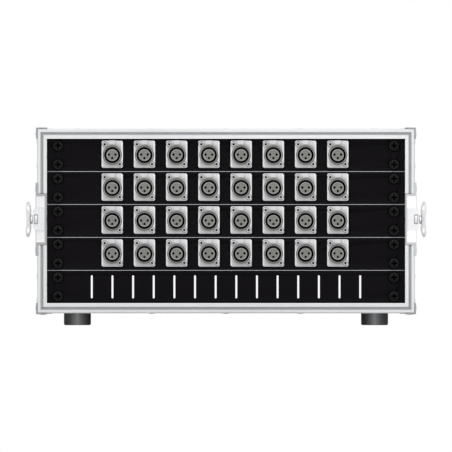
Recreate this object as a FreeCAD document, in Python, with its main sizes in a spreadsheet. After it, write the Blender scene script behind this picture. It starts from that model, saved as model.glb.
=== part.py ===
"""Audio patch bay: four eight-way panels and a vent panel in a five unit rack case with twist latches.

Millimetres, +Z up. The front faces -Y, left and right are as seen from the front, and the origin
lies on the surface that the case stands on, under its middle.
"""
import FreeCAD, Part
import math
import os
import re
import Sketcher

V = FreeCAD.Vector
FRONT = "XZ_Plane"
SIDE = "YZ_Plane"
TOP = "XY_Plane"

doc = FreeCAD.newDocument("AudioPatchBay")
sheet = doc.addObject("Spreadsheet::Sheet", "Sizes")
derived = {}
nodes = []


# ---------------------------------------------------------------- sizes

SIZES = {
    # rack and panels
    "rack_width": 482.6,  # panel width, nineteen inches
    "unit_height": 44.45,  # height of one rack unit
    "patch_rows": 4,  # number of connector panels, above one vent panel
    "panel_gap": 0.5,  # gap between two panels
    "panel_thick": 2.5,  # panel sheet
    "panel_recess": 10,  # rim face to panel front
    "side_gap": 0.7,  # panel end to case opening
    "end_gap": 0.5,  # panel stack to case opening, top and bottom
    "rack_hole_inset": 14.4,  # rack screw to panel end
    "rack_hole_rise": 12.7,  # rack screws above and below a panel's middle
    "vent_slots": 14,  # number of vent slots
    "vent_pitch": 27.86,  # spacing of the vent slots
    "vent_wide": 2.9,  # width of a vent slot
    "vent_tall": 31.4,  # height of a vent slot
    "vent_round": 1.4,  # corner of a vent slot

    # case
    "case_depth": 300,  # rim face to rim face
    "board_thick": 9,  # plywood board
    "leg_thick": 2,  # wall of the aluminium extrusions
    "outer_leg": 30,  # rim leg over the board, from the rim face
    "inner_leg": 36,  # rim leg inside the case, from the rim face
    "rim_block": 9,  # solid depth of the rim, where the board starts
    "outer_lip": 4.6,  # bright lip outside the groove
    "groove_wide": 4.2,  # mouth of the rim groove
    "groove_floor": 1.8,  # floor of the rim groove
    "groove_deep": 5,  # depth of the rim groove
    "rim_bevel": 1.2,  # bevel of the rim's outer corner
    "edge_gap": 0.5,  # board edge to the bottom of its slot
    "edge_leg": 25,  # leg of the edge angles
    "brace_leg": 15.5,  # leg of the corner braces
    "brace_thick": 1.5,  # sheet of the corner braces
    "brace_long": 32,  # length of the corner braces along the edge
    "brace_rivet_inset": 12,  # end of a corner brace to its nearer rivet
    "foot_diameter": 36.5,  # rubber foot
    "foot_tall": 18,  # rubber foot under the bottom board
    "foot_round": 2.5,  # rounding of the foot's lower edge
    "foot_inset": 54.5,  # foot centre to case side
    "foot_setback": 52,  # foot centre to rim face
    "foot_bore": 14,  # counterbore for the foot screw
    "foot_pad": 7,  # rubber above the counterbore

    # connectors
    "columns": 8,  # connectors in a row
    "socket_pitch": 43.5,  # connector spacing along a row
    "socket_shift": -1.3,  # middle of a row from the middle of the panel
    "shell_wide": 29,  # connector flange width
    "shell_tall": 37.3,  # connector flange height
    "shell_thick": 3.5,  # connector flange thickness
    "shell_round": 2.5,  # connector flange corner
    "shell_rise": 1.2,  # flange centre above the bore
    "barrel_outside": 23.4,  # shell behind the panel
    "barrel_long": 20,  # length of the shell behind the panel
    "panel_cut": 24,  # round cut-out in the panel
    "bore_inside": 19.3,  # bore that takes the plug's shell
    "mouth_bevel": 0.75,  # bevel at the mouth of the bore
    "collar_outside": 23.8,  # raised collar round the bore
    "collar_proud": 0.6,  # collar above the flange
    "boss_outside": 6.8,  # boss round a flange screw
    "boss_proud": 0.4,  # boss above the flange
    "screw_across": 20.4,  # flange screws, sideways
    "screw_upright": 26.8,  # flange screws, up and down
    "core_outside": 16,  # insert that the plug's shell goes over
    "core_recess": 1,  # insert face behind the flange face
    "core_rim": 1.1,  # raised ring round the insert's face
    "core_rim_deep": 0.6,  # insert face behind that ring
    "core_base": 8,  # thick foot of the insert
    "contact_across": 8.9,  # two upper contacts, apart
    "contact_upper": 0.7,  # upper contacts above the bore's middle
    "contact_lower": 4.1,  # lower contact below the bore's middle
    "contact_mouth": 2.4,  # hole in the insert's face for a plug's pin
    "contact_outside": 3.3,  # contact tube
    "contact_skin": 1.2,  # insert in front of a contact
    "contact_deep": 15.8,  # depth of a contact's tube for a pin
    "contact_tail": 7,  # contact behind the insert
    "cup_deep": 4.2,  # solder cup depth
    "cup_open": 0.6,  # where the solder cup is cut open, above its middle

    # release tabs
    "tab_wide": 8.5,  # button width
    "tab_low": 15.1,  # button's lower edge above the bore's middle
    "tab_proud": 0.8,  # button in front of the flange
    "tab_thick": 2.6,  # button thickness
    "tab_leaf": 0.8,  # link behind the button, sheet
    "leaf_spring": 1,  # leaf spring sheet
    "tab_stem_wide": 6,  # leaf spring width
    "tab_stem_long": 14.5,  # leaf spring length
    "tab_travel": 1.5,  # how far the button goes in

    # small screws and rivets
    "flange_screw": 3,  # flange screw thread
    "flange_head": 5.4,  # flange screw head
    "flange_screw_long": 9,  # flange screw length
    "small_recess_wide": 2.4,  # flange screw's cross recess, tip to tip
    "small_recess_slot": 0.75,  # flange screw's cross recess, width of an arm
    "small_recess_deep": 0.9,  # flange screw's cross recess depth
    "rack_screw": 6,  # rack screw thread
    "rack_head": 12.9,  # rack screw head
    "rack_screw_long": 14,  # rack screw behind the panel's front
    "washer_outside": 15.8,  # cup washer
    "washer_front": 13.8,  # cup washer's front edge
    "washer_tall": 2.4,  # cup washer height
    "washer_seat": 0.5,  # cup washer under the screw's cone
    "head_crown": 0.95,  # rack screw's head in front of its washer
    "head_flat": 7.2,  # flat on the rack screw's head
    "recess_wide": 7.6,  # cross recess, tip to tip
    "recess_slot": 1.9,  # cross recess, width of an arm
    "recess_deep": 1.8,  # cross recess depth
    "rivet_head": 8,  # rivet head
    "rivet_proud": 0.6,  # rivet head height
    "rivet_shank": 4,  # rivet shank
    "rivet_long": 8,  # rivet under its head
    "rim_rivet_inset": 54.5,  # case side to the last rivet along a rim
    "side_rivet_rise": 50,  # case edge to a rivet in the rim's upright lengths
    "angle_rivet_inset": 48,  # end of an edge angle to its last rivet
    "angle_rivet_rise": 17,  # edge of the case to the rivets of an edge angle
    "dish_rivet_setback": 12,  # rim face to a dish's first rivet
    "dish_rivet_inset": 8,  # end of a dish's flange to its rivets
    "rail_rivet_inset": 25,  # case inside to a rail's rivet
    "foot_screw": 4.8,  # foot screw thread
    "foot_screw_head": 11,  # foot screw head
    "foot_screw_proud": 3,  # foot screw head height
    "foot_screw_long": 14,  # foot screw under its head
    "rail_wide": 19,  # rack rail's front flange
    "rail_deep": 24,  # rack rail's side flange
    "rail_thick": 2,  # rack rail sheet

    # latches
    "latch_rise": 2.2,  # latch above the middle of the case
    "dish_floor": 2.5,  # dish floor
    "dish_tall": 62,  # dish inside height
    "dish_wall": 3.5,  # dish wall
    "dish_long": 100,  # dish inside length, from the rim face
    "flange_tall": 99,  # dish flange height
    "flange_back": 15,  # dish flange behind the dish
    "flange_thick": 4,  # dish flange
    "housing_tall": 29.4,  # latch housing height
    "housing_high": 15.9,  # latch housing above the dish floor
    "housing_long": 62,  # latch housing length
    "housing_back": 3,  # rim face to housing
    "housing_wall": 2,  # latch housing wall
    "housing_roof": 1.5,  # latch housing outer wall
    "bevel_out": 2.2,  # housing bevel, sideways
    "bevel_up": 4,  # housing bevel, up and down
    "tongue_long": 14,  # housing's riveted tongue
    "slot_tall": 12.8,  # hook slot height
    "slot_wide": 5.7,  # hook slot width
    "slot_round": 1.5,  # hook slot corner
    "axis_back": 35,  # rim face to latch spindle
    "spindle": 8,  # latch spindle
    "cam_disc": 15,  # cam disc
    "cam_thick": 2,  # cam disc thickness
    "cam_throw": 4.5,  # eccentric pin from the spindle's axis
    "cam_pin": 4.4,  # eccentric pin
    "cam_slack": 1.4,  # eccentric pin's room each side in the hook's slot
    "hook_thick": 2.2,  # hook plate
    "hook_tall": 11.6,  # hook height in its slot
    "hook_wide": 21,  # hook height at the cam
    "hook_tip": 2.5,  # hook's tip behind the housing's front
    "hook_lip": 2.5,  # bent lip at the hook's tip
    "hook_neck": 16.5,  # length of the narrow part
    "hook_long": 46,  # hook length
    "handle_tall": 48.7,  # handle from wing tip to wing tip
    "handle_thick": 7.7,  # handle thickness
    "handle_wide": 22,  # handle width
    "handle_neck": 2,  # gap between handle and housing
    "handle_collar": 12.8,  # collar in that gap
    "wing_start": 13,  # where the handle's inner side starts to curve away
    "wing_slope": 3.6,  # how far the inner side curves away at the tips
    "wing_round": 10,  # corner of a wing, seen from the side
    "loop_place": 15,  # loop hole from the middle of the handle
    "loop_tall": 5.5,  # loop hole height
    "loop_wide": 2.2,  # loop hole width
    "loop_round": 1,  # loop hole corner
    "loop_inset": 3.5,  # loop hole's middle from the handle's outer side

    # clearances
    "fit_gap": 0.1,  # all round a shank or shaft in its hole
    "slide_gap": 0.3,  # between a moving piece and its guide
}

for line, (name, number) in enumerate(SIZES.items(), 1):
    sheet.set(f"A{line}", name)
    sheet.set(f"B{line}", str(number))
    sheet.setAlias(f"B{line}", name)
doc.recompute()


def derive(name, text):
    """Name a size that follows from others."""
    derived[name] = text


def formula(text):
    """Turn named sizes into an expression on the sheet's cells."""
    def cell(match):
        word = match[0]
        return f"({formula(derived[word])})" if word in derived else f"Sizes.{word}"
    return re.sub(r"[a-z_]+", cell, text)


def value(text):
    """The number that a text of named sizes comes to."""
    return float(sheet.evalExpression(formula(text)))


derive("units", "patch_rows + 1")
derive("rim_face", "board_thick + 2*leg_thick")
derive("half_open", "rack_width/2 + side_gap")
derive("half_wide", "half_open + rim_face")
derive("half_depth", "case_depth/2")
derive("case_base", "foot_tall - leg_thick")
derive("inside_low", "case_base + rim_face")
derive("inside_high", "inside_low + units*unit_height + 2*end_gap")
derive("case_top", "inside_high + rim_face")
derive("panel_front", "panel_recess - half_depth")
derive("panel_back", "panel_front + panel_thick")
derive("rail_back", "panel_back + rail_thick")
derive("board_front", "rim_block + edge_gap - half_depth")
derive("rack_hole", "rack_width/2 - rack_hole_inset")
derive("brace_front", "edge_gap - half_depth")
derive("board_in", "half_wide - leg_thick - board_thick")
derive("board_out", "half_wide - leg_thick")

derive("flange_face", "-shell_thick")
derive("button_front", "flange_face - tab_proud")
derive("button_back", "button_front + tab_thick")
derive("leaf_low", "bore_inside/2 + slide_gap")
derive("leaf_high", "leaf_low + leaf_spring")
derive("tab_top", "shell_rise + shell_tall/2")
derive("core_front", "flange_face + core_recess")
derive("core_back", "barrel_long")
derive("head_cone", "washer_tall - washer_seat")

derive("latch_mid", "(case_base + case_top)/2 + latch_rise")
derive("dish_in", "half_open + slide_gap")
derive("dish_out", "dish_in + dish_floor")
derive("dish_back", "dish_long - half_depth")
derive("tub_half", "dish_tall/2 + dish_wall")
derive("housing_front", "housing_back - half_depth")
derive("housing_rear", "housing_front + housing_long")
derive("housing_face", "dish_out + housing_high")
derive("roof_in", "housing_face - housing_roof")
derive("axis_y", "axis_back - half_depth")
derive("slot_out", "roof_in + slide_gap")
derive("slot_in", "slot_out - slot_wide")
derive("cam_out", "roof_in - slide_gap")
derive("cam_in", "cam_out - cam_thick")
derive("hook_out", "cam_in - 2*slide_gap")
derive("hook_in", "hook_out - hook_thick")
derive("hook_front", "housing_front + hook_tip")
derive("handle_in", "housing_face + handle_neck")
derive("handle_out", "handle_in + handle_thick")


# ---------------------------------------------------------------- drawing

def place(thing, x="0", y="0", z="0"):
    """Bind a piece's position to the sheet."""
    for axis, text in zip("xyz", (x, y, z)):
        thing.setExpression(f"Placement.Base.{axis}", formula(text))
    return thing


def block(name, x, y, z):
    """A plain block between a low and a high limit along each axis."""
    made = doc.addObject("Part::Box", name)
    for side, (low, high) in zip(("Length", "Width", "Height"), (x, y, z)):
        made.setExpression(side, formula(f"({high}) - ({low})"))
    return place(made, x[0], y[0], z[0])


def group(name, things):
    """Several solids in one object."""
    made = doc.addObject("Part::Compound", name)
    made.Links = list(things)
    return made


def fuse(name, *things):
    """Join touching solids into one."""
    made = doc.addObject("Part::MultiFuse", name)
    made.Shapes = list(things)
    made.Refine = True
    return made


def cut(name, base, *tools):
    """Take the tools away from the base."""
    made = doc.addObject("Part::Cut", name)
    made.Base = base
    made.Tool = group(name + "_tools", tools) if len(tools) > 1 else tools[0]
    return made


def mirror(name, thing):
    """The same piece on the other side of the case."""
    made = doc.addObject("Part::Mirroring", name)
    made.Source = thing
    made.Normal = V(1, 0, 0)
    return made


def copy(name, master, turn, x, y, z):
    """One more of the same piece, turned and moved into place."""
    made = doc.addObject("App::Link", name)
    made.LinkedObject = master
    made.Placement = FreeCAD.Placement(V(), turn)
    return place(made, x, y, z)


def node(name, thing):
    """Name a finished sub-part."""
    thing.Label = name
    nodes.append(thing)


def body(name):
    """An empty body."""
    return doc.addObject("PartDesign::Body", name)


def origin_feature(owner, role):
    """One of a body's own origin planes or axes."""
    return next(feature for feature in owner.Origin.OriginFeatures if feature.Role == role)


def sketch(owner, role, level="0"):
    """A sketch on one of the body's origin planes, or beside it at a level along its normal."""
    made = owner.newObject("Sketcher::SketchObject", owner.Name + "_sketch")
    made.AttachmentSupport = [(origin_feature(owner, role), "")]
    made.MapMode = "FlatFace"
    made.setExpression("AttachmentOffset.Base.z", formula(level))
    return made


def fix(outline, kind, geometry, point, text):
    """Bind one sketch measure to the sheet."""
    place_of = (geometry,) if point is None else (geometry, point)
    index = outline.addConstraint(Sketcher.Constraint(kind, *place_of, value(text)))
    outline.setExpression(f"Constraints[{index}]", formula(text))


def polygon(outline, points):
    """Straight lines from point to point, closed, with every corner bound to the sheet."""
    corners = [V(value(across), value(up), 0) for across, up in points]
    first = outline.GeometryCount
    for start, end in zip(corners, corners[1:] + corners[:1]):
        outline.addGeometry(Part.LineSegment(start, end))
    for i, (across, up) in enumerate(points):
        after = first + (i + 1) % len(points)
        outline.addConstraint(Sketcher.Constraint("Coincident", first + i, 2, after, 1))
        fix(outline, "DistanceX", first + i, 1, across)
        fix(outline, "DistanceY", first + i, 1, up)


def rectangle(outline, across, up):
    """A rectangle between two limits each way."""
    polygon(outline, [(across[0], up[0]), (across[1], up[0]), (across[1], up[1]), (across[0], up[1])])


def circle(outline, across, up, diameter):
    """A circle with its middle and radius bound to the sheet."""
    middle = V(value(across), value(up), 0)
    index = outline.addGeometry(Part.Circle(middle, V(0, 0, 1), value(diameter) / 2))
    fix(outline, "Radius", index, None, f"({diameter})/2")
    fix(outline, "DistanceX", index, 3, across)
    fix(outline, "DistanceY", index, 3, up)


def rounded(outline, across, up, radius):
    """A rectangle with rounded corners: four lines and four tangent arcs."""
    left, right, low, high, bend = (value(text) for text in (*across, *up, radius))
    near = (f"({across[0]}) + ({radius})", f"({across[1]}) - ({radius})")
    level = (f"({up[0]}) + ({radius})", f"({up[1]}) - ({radius})")
    first = outline.GeometryCount
    sides = [((left + bend, low), (right - bend, low)), ((right, low + bend), (right, high - bend)),
             ((right - bend, high), (left + bend, high)), ((left, high - bend), (left, low + bend))]
    middles = [(near[1], level[0]), (near[1], level[1]), (near[0], level[1]), (near[0], level[0])]
    for turn, ((start, end), (across_mid, up_mid)) in enumerate(zip(sides, middles)):
        outline.addGeometry(Part.LineSegment(V(*start, 0), V(*end, 0)))
        ring = Part.Circle(V(value(across_mid), value(up_mid), 0), V(0, 0, 1), bend)
        outline.addGeometry(Part.ArcOfCircle(ring, (turn - 1) * math.pi / 2, turn * math.pi / 2))
    for i in range(8):
        outline.addConstraint(Sketcher.Constraint("Tangent", first + i, 2, first + (i + 1) % 8, 1))
    for i, (across_mid, up_mid) in enumerate(middles):
        fix(outline, "Radius", first + 2 * i + 1, None, radius)
        fix(outline, "DistanceX", first + 2 * i + 1, 3, across_mid)
        fix(outline, "DistanceY", first + 2 * i + 1, 3, up_mid)


def pad(owner, outline, length, back=False, both=False):
    """Grow a sketch into a solid along its normal, against it, or both ways."""
    made = owner.newObject("PartDesign::Pad", owner.Name + "_pad")
    made.Profile = outline
    made.setExpression("Length", formula(length))
    made.Reversed = back
    made.Midplane = both
    return made


def pocket(owner, outline, length=None):
    """Cut a sketch out of the body against its normal, or right through both ways."""
    doc.recompute()
    before = owner.Shape.Volume
    made = owner.newObject("PartDesign::Pocket", owner.Name + "_pocket")
    made.Profile = outline
    if length is None:
        made.Type = "ThroughAll"
        made.Midplane = True
    else:
        made.setExpression("Length", formula(length))
    doc.recompute()
    if owner.Shape.Volume > before - 1e-3:
        raise RuntimeError(f"{made.Name} cuts nothing")
    return made


def revolve(owner, role, axis, points):
    """Turn a closed outline about one of the body's own axes."""
    outline = sketch(owner, role)
    polygon(outline, points)
    made = owner.newObject("PartDesign::Revolution", owner.Name + "_turned")
    made.Profile = outline
    made.ReferenceAxis = (origin_feature(owner, axis), [""])
    made.Angle = 360
    return made


def row_of(owner, feature, axis, step, count):
    """Repeat a feature at equal steps along one of its sketch's axes."""
    made = owner.newObject("PartDesign::LinearPattern", owner.Name + "_row")
    made.Originals = [feature]
    made.Direction = (feature.Profile[0], [axis])
    made.setExpression("Length", formula(f"({step})*({count} - 1)"))
    made.setExpression("Occurrences", formula(count))
    owner.Tip = made
    return made


def dress(owner, kind, text, wanted):
    """Fillet or chamfer the edges of the body that the test picks."""
    doc.recompute()
    base = owner.Tip
    names = [f"Edge{i}" for i, edge in enumerate(base.Shape.Edges, 1) if wanted(edge)]
    made = owner.newObject("PartDesign::" + kind, owner.Name + "_" + kind.lower())
    made.Base = (base, names)
    made.setExpression("Radius" if kind == "Fillet" else "Size", formula(text))
    return made


def near(number, text):
    """True where a coordinate is the named size."""
    return abs(number - value(text)) < 1e-4


def is_round_at(edge, diameter, y):
    """True for a full circle of that diameter at that depth."""
    curve = edge.Curve
    return (isinstance(curve, Part.Circle) and near(curve.Radius, f"({diameter})/2")
            and near(curve.Center.y, y) and len(edge.Vertexes) == 1)


# ---------------------------------------------------------------- fasteners

OUTWARD = {
    "top": FreeCAD.Rotation(),
    "bottom": FreeCAD.Rotation(V(1, 0, 0), 180),
    "right": FreeCAD.Rotation(V(0, 1, 0), 90),
    "left": FreeCAD.Rotation(V(0, 1, 0), -90),
}


def headed(name, head, proud, shank, length):
    """A turned fastener with its head's seat at the origin and its head up."""
    made = body(name)
    revolve(made, FRONT, "Z_Axis", [
        ("0", f"-({length})"), (f"{shank}/2", f"-({length})"), (f"{shank}/2", "0"),
        (f"{head}/2", "0"), (f"{head}/2", proud), ("0", proud)])
    return made


def drill(name, shank, length):
    """The hole for such a fastener, from its seat down."""
    made = doc.addObject("Part::Cylinder", name + "_round")
    made.setExpression("Radius", formula(f"({shank})/2 + fit_gap"))
    made.setExpression("Height", formula(f"({length}) + fit_gap"))
    place(made, z=f"-({length}) - fit_gap")
    return group(name, [made])


rivet = headed("rivet", "rivet_head", "rivet_proud", "rivet_shank", "rivet_long")
rivet_hole = drill("rivet_hole", "rivet_shank", "rivet_long")
foot_bolt = headed("foot_bolt", "foot_screw_head", "foot_screw_proud", "foot_screw", "foot_screw_long")
foot_hole = drill("foot_hole", "foot_screw", "foot_screw_long")
fasteners = []
holes = []


def fasten(kind, hole, face, x, y, z):
    """Put one fastener into a face, and keep the hole that it needs."""
    number = len(fasteners) + 1
    fasteners.append(copy(f"fastener_{number}", kind, OUTWARD[face], x, y, z))
    holes.append(copy(f"fastener_hole_{number}", hole, OUTWARD[face], x, y, z))


def rivet_rows():
    """Rivets along the rims, the edge angles and the corner braces."""
    leg_middle = "(half_depth - (rim_block + outer_leg)/2)"
    for y in (f"-{leg_middle}", leg_middle):
        for step in (-2, -1, 0, 1, 2):
            x = f"{step}*(half_wide - rim_rivet_inset)/2"
            fasten(rivet, rivet_hole, "top", x, y, "case_top")
            fasten(rivet, rivet_hole, "bottom", x, y, "case_base")
        for z in ("case_base + side_rivet_rise", "case_top - side_rivet_rise"):
            fasten(rivet, rivet_hole, "right", "half_wide", y, z)
            fasten(rivet, rivet_hole, "left", "-half_wide", y, z)
    for step in (-1, 0, 1):
        y = f"{step}*(half_depth - outer_leg - angle_rivet_inset)"
        for x in ("half_wide - angle_rivet_rise", "angle_rivet_rise - half_wide"):
            fasten(rivet, rivet_hole, "top", x, y, "case_top")
            fasten(rivet, rivet_hole, "bottom", x, y, "case_base")
        for z in ("case_top - angle_rivet_rise", "case_base + angle_rivet_rise"):
            fasten(rivet, rivet_hole, "right", "half_wide", y, z)
            fasten(rivet, rivet_hole, "left", "-half_wide", y, z)
    half_leg = "(brace_leg - brace_thick)/2"
    for end in ("", "-1*"):
        y = f"{end}(brace_front + brace_rivet_inset)"
        for x in (f"half_wide - {half_leg}", f"{half_leg} - half_wide"):
            fasten(rivet, rivet_hole, "top", x, y, "case_top + brace_thick")
            fasten(rivet, rivet_hole, "bottom", x, y, "case_base - brace_thick")
        y = f"{end}(brace_front + brace_long - brace_rivet_inset)"
        for z in (f"case_top - {half_leg}", f"case_base + {half_leg}"):
            fasten(rivet, rivet_hole, "right", "half_wide + brace_thick", y, z)
            fasten(rivet, rivet_hole, "left", "-half_wide - brace_thick", y, z)


# ---------------------------------------------------------------- case

def both_ways(low, high):
    """A pair of limits and the same pair on the other side."""
    return (low, high), (f"-({high})", f"-({low})")


def boards():
    """Four plywood boards in the slots of the rims."""
    whole = ("board_out*-1", "board_out")
    deep = ("board_front", "board_front*-1")
    top = block("top_sheet", whole, deep, ("case_top - leg_thick - board_thick", "case_top - leg_thick"))
    base = block("base_sheet", whole, deep, ("case_base + leg_thick", "case_base + leg_thick + board_thick"))
    node("top_board", cut("top_board", top, drilled))
    node("bottom_board", cut("bottom_board", base, drilled))
    upright = ("case_base + leg_thick + board_thick", "case_top - leg_thick - board_thick")
    for side, limits in zip(("right", "left"), both_ways("board_in", "board_out")):
        sheet_of_wood = block(f"{side}_sheet", limits, deep, upright)
        node(f"{side}_board", cut(f"{side}_board", sheet_of_wood, dish_notch, drilled))


def rim_outline(outline, depth, across, flat):
    """Section of the rim extrusion: two lips, a groove between them and a slot for the board."""
    lip = "outer_lip"
    points = [("0", "rim_bevel"), ("rim_bevel", "0"), (lip, "0"), (lip, "groove_deep"),
              (f"{lip} + groove_floor", "groove_deep"), (f"{lip} + groove_wide", "0"), ("rim_face", "0"),
              ("rim_face", "inner_leg"), ("rim_face - leg_thick", "inner_leg"),
              ("rim_face - leg_thick", "rim_block"), ("leg_thick", "rim_block"),
              ("leg_thick", "outer_leg"), ("0", "outer_leg")]
    drawn = [(across(inward), depth(back)) for inward, back in points]
    polygon(outline, [(up, along) for along, up in drawn] if flat else drawn)


def rim_bars(end, depth):
    """Four lengths of rim extrusion, mitred at the corners."""
    over = "rim_face + edge_leg"
    bars = []
    for name, level, outward in (("top", "case_top", "+"), ("base", "case_base", "-")):
        inward = "-" if outward == "+" else "+"
        bar = body(f"{end}_{name}_bar")
        section = sketch(bar, SIDE)
        rim_outline(section, depth, lambda text, level=level, sign=inward: f"{level} {sign} ({text})", True)
        pad(bar, section, "2*half_wide", both=True)
        ends = sketch(bar, FRONT)
        for side in ("", "-1*"):
            polygon(ends, [(f"{side}half_wide", level),
                           (f"{side}(half_wide + edge_leg)", level),
                           (f"{side}(half_wide + edge_leg)", f"{level} {inward} ({over})"),
                           (f"{side}(half_wide - ({over}))", f"{level} {inward} ({over})")])
        pocket(bar, ends)
        bars.append(bar)
    upright = body(f"{end}_right_bar")
    section = sketch(upright, TOP, "case_base")
    rim_outline(section, depth, lambda text: f"half_wide - ({text})", False)
    pad(upright, section, "case_top - case_base")
    ends = sketch(upright, FRONT)
    for level, outward, inward in (("case_top", "+", "-"), ("case_base", "-", "+")):
        polygon(ends, [("half_wide", level), ("half_wide", f"{level} {outward} edge_leg"),
                       (f"half_wide - ({over})", f"{level} {outward} edge_leg"),
                       (f"half_wide - ({over})", f"{level} {inward} ({over})")])
    pocket(upright, ends)
    return bars + [upright, mirror(f"{end}_left_bar", upright)]


def rims():
    """The front rim is cut away for the latch dishes; the rear rim is whole."""
    front = group("front_bars", rim_bars("front", lambda text: f"({text}) - half_depth"))
    node("front_rim", cut("front_rim", front, dish_notch, leg_notch, drilled))
    rear = group("rear_bars", rim_bars("rear", lambda text: f"half_depth - ({text})"))
    node("rear_rim", cut("rear_rim", rear, drilled))


CORNERS = [("half_wide", "case_top", 0), ("-half_wide", "case_top", -90),
           ("-half_wide", "case_base", 180), ("half_wide", "case_base", 90)]


def angle(name, leg, thick, outside, length, round_text):
    """A length of angle with its outer corner at the origin, for the upper right edge."""
    made = body(name)
    section = sketch(made, FRONT)
    far = f"({outside}) - ({leg})"
    near_side = f"({outside}) - ({thick})"
    polygon(section, [(outside, outside), (far, outside), (far, near_side), (near_side, near_side),
                      (near_side, far), (outside, far)])
    pad(made, section, length, back=True)

    def outer(edge):
        middle = edge.CenterOfMass
        return near(middle.x, outside) and near(middle.z, outside)
    dress(made, "Fillet", round_text, outer)
    return made


def edges_and_braces():
    """Aluminium angles on the four long edges and pressed braces on the eight corners."""
    long_angle = angle("edge_angle", "edge_leg", "leg_thick", "0", "2*(half_depth - outer_leg)",
                       "leg_thick/2")
    angles = [copy(f"edge_angle_{i}", long_angle, FreeCAD.Rotation(V(0, 1, 0), turn),
                   x, "outer_leg - half_depth", z) for i, (x, z, turn) in enumerate(CORNERS, 1)]
    node("edge_angles", cut("edge_angles", group("angle_set", angles), drilled))
    brace = angle("corner_brace", "brace_leg", "brace_thick", "brace_thick", "brace_long",
                  "brace_thick/2")
    braces = []
    for y in ("brace_front", "-brace_front - brace_long"):
        for x, z, turn in CORNERS:
            number = len(braces) + 1
            braces.append(copy(f"brace_{number}", brace, FreeCAD.Rotation(V(0, 1, 0), turn), x, y, z))
    node("corner_braces", cut("corner_braces", group("brace_set", braces), drilled))


def feet():
    """Four rubber feet, each held by a screw in a counterbore."""
    foot = body("foot")
    outline = sketch(foot, TOP)
    circle(outline, "0", "0", "foot_diameter")
    pad(foot, outline, "foot_tall")
    bore = sketch(foot, TOP, "foot_tall - foot_pad")
    circle(bore, "0", "0", "foot_bore")
    pocket(foot, bore, "foot_tall")
    through = sketch(foot, TOP)
    circle(through, "0", "0", "foot_screw + 4*fit_gap")
    pocket(foot, through)

    def lower(edge):
        return (isinstance(edge.Curve, Part.Circle) and near(edge.Curve.Center.z, "0")
                and near(edge.Curve.Radius, "foot_diameter/2"))
    dress(foot, "Fillet", "foot_round", lower)
    made = []
    for x in ("half_wide - foot_inset", "foot_inset - half_wide"):
        for y in ("half_depth - foot_setback", "foot_setback - half_depth"):
            made.append(copy(f"foot_{len(made) + 1}", foot, FreeCAD.Rotation(), x, y, "0"))
            fasten(foot_bolt, foot_hole, "bottom", x, y, "foot_tall - foot_pad")
    node("rubber_feet", group("rubber_feet", made))


# ---------------------------------------------------------------- latches

def dishes():
    """Latch dishes: open to the side and the front, with a flange on three sides."""
    flange = block("dish_flange", ("board_out", "board_out + flange_thick"),
                   ("half_depth*-1", "dish_back + dish_wall + flange_back"),
                   ("latch_mid - flange_tall/2", "latch_mid + flange_tall/2"))
    tub = block("dish_tub", ("dish_in", "board_out + flange_thick"),
                ("half_depth*-1", "dish_back + dish_wall"), ("latch_mid - tub_half", "latch_mid + tub_half"))
    hollow = block("dish_hollow", ("dish_out", "half_wide + edge_leg"), ("half_depth*-2", "dish_back"),
                   ("latch_mid - dish_tall/2", "latch_mid + dish_tall/2"))
    right = cut("dish_right", fuse("dish_solid", flange, tub), hollow)
    inset = "(flange_tall/2 - dish_rivet_inset)"
    face = "board_out + flange_thick"
    for y in ("dish_rivet_setback - half_depth", "dish_back"):
        for z in (f"latch_mid + {inset}", f"latch_mid - {inset}"):
            fasten(rivet, rivet_hole, "right", face, y, z)
            fasten(rivet, rivet_hole, "left", f"-({face})", y, z)
    return group("dish_pair", [right, mirror("dish_left", right)])


def housings():
    """Latch housings: a cover over the cam, open to the dish floor, riveted by a tongue."""
    made = body("housing")
    half = "housing_tall/2"
    section = sketch(made, FRONT, "-(housing_front)")
    polygon(section, [
        ("dish_out", f"latch_mid - {half}"), ("housing_face - bevel_out", f"latch_mid - {half}"),
        ("housing_face", f"latch_mid - {half} + bevel_up"),
        ("housing_face", f"latch_mid + {half} - bevel_up"),
        ("housing_face - bevel_out", f"latch_mid + {half}"), ("dish_out", f"latch_mid + {half}")])
    pad(made, section, "housing_long", back=True)
    tongue = sketch(made, FRONT, "-(housing_rear - housing_wall)")
    rectangle(tongue, ("dish_out", "dish_out + housing_roof"),
              ("latch_mid - rivet_head", "latch_mid + rivet_head"))
    pad(made, tongue, "tongue_long + housing_wall", back=True)
    room = f"({half} - housing_wall)"
    cavity = sketch(made, FRONT, "-(housing_front + housing_wall)")
    polygon(cavity, [
        ("dish_in", f"latch_mid - {room}"), ("roof_in - bevel_out", f"latch_mid - {room}"),
        ("roof_in", f"latch_mid - {room} + bevel_up"), ("roof_in", f"latch_mid + {room} - bevel_up"),
        ("roof_in - bevel_out", f"latch_mid + {room}"), ("dish_in", f"latch_mid + {room}")])
    pocket(made, cavity, "housing_long - 2*housing_wall")
    slot = sketch(made, FRONT, "-(housing_front - housing_wall)")
    rounded(slot, ("slot_in", "slot_out"), ("latch_mid - slot_tall/2", "latch_mid + slot_tall/2"),
            "slot_round")
    pocket(made, slot, "3*housing_wall")
    shaft = sketch(made, SIDE, "housing_face + housing_roof")
    circle(shaft, "axis_y", "latch_mid", "spindle + 2*fit_gap")
    pocket(made, shaft, "3*housing_roof")
    y = "housing_rear + tongue_long/2"
    fasten(rivet, rivet_hole, "right", "dish_out + housing_roof", y, "latch_mid")
    fasten(rivet, rivet_hole, "left", "-(dish_out + housing_roof)", y, "latch_mid")
    return group("housing_pair", [made, mirror("housing_left", made)])


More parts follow.
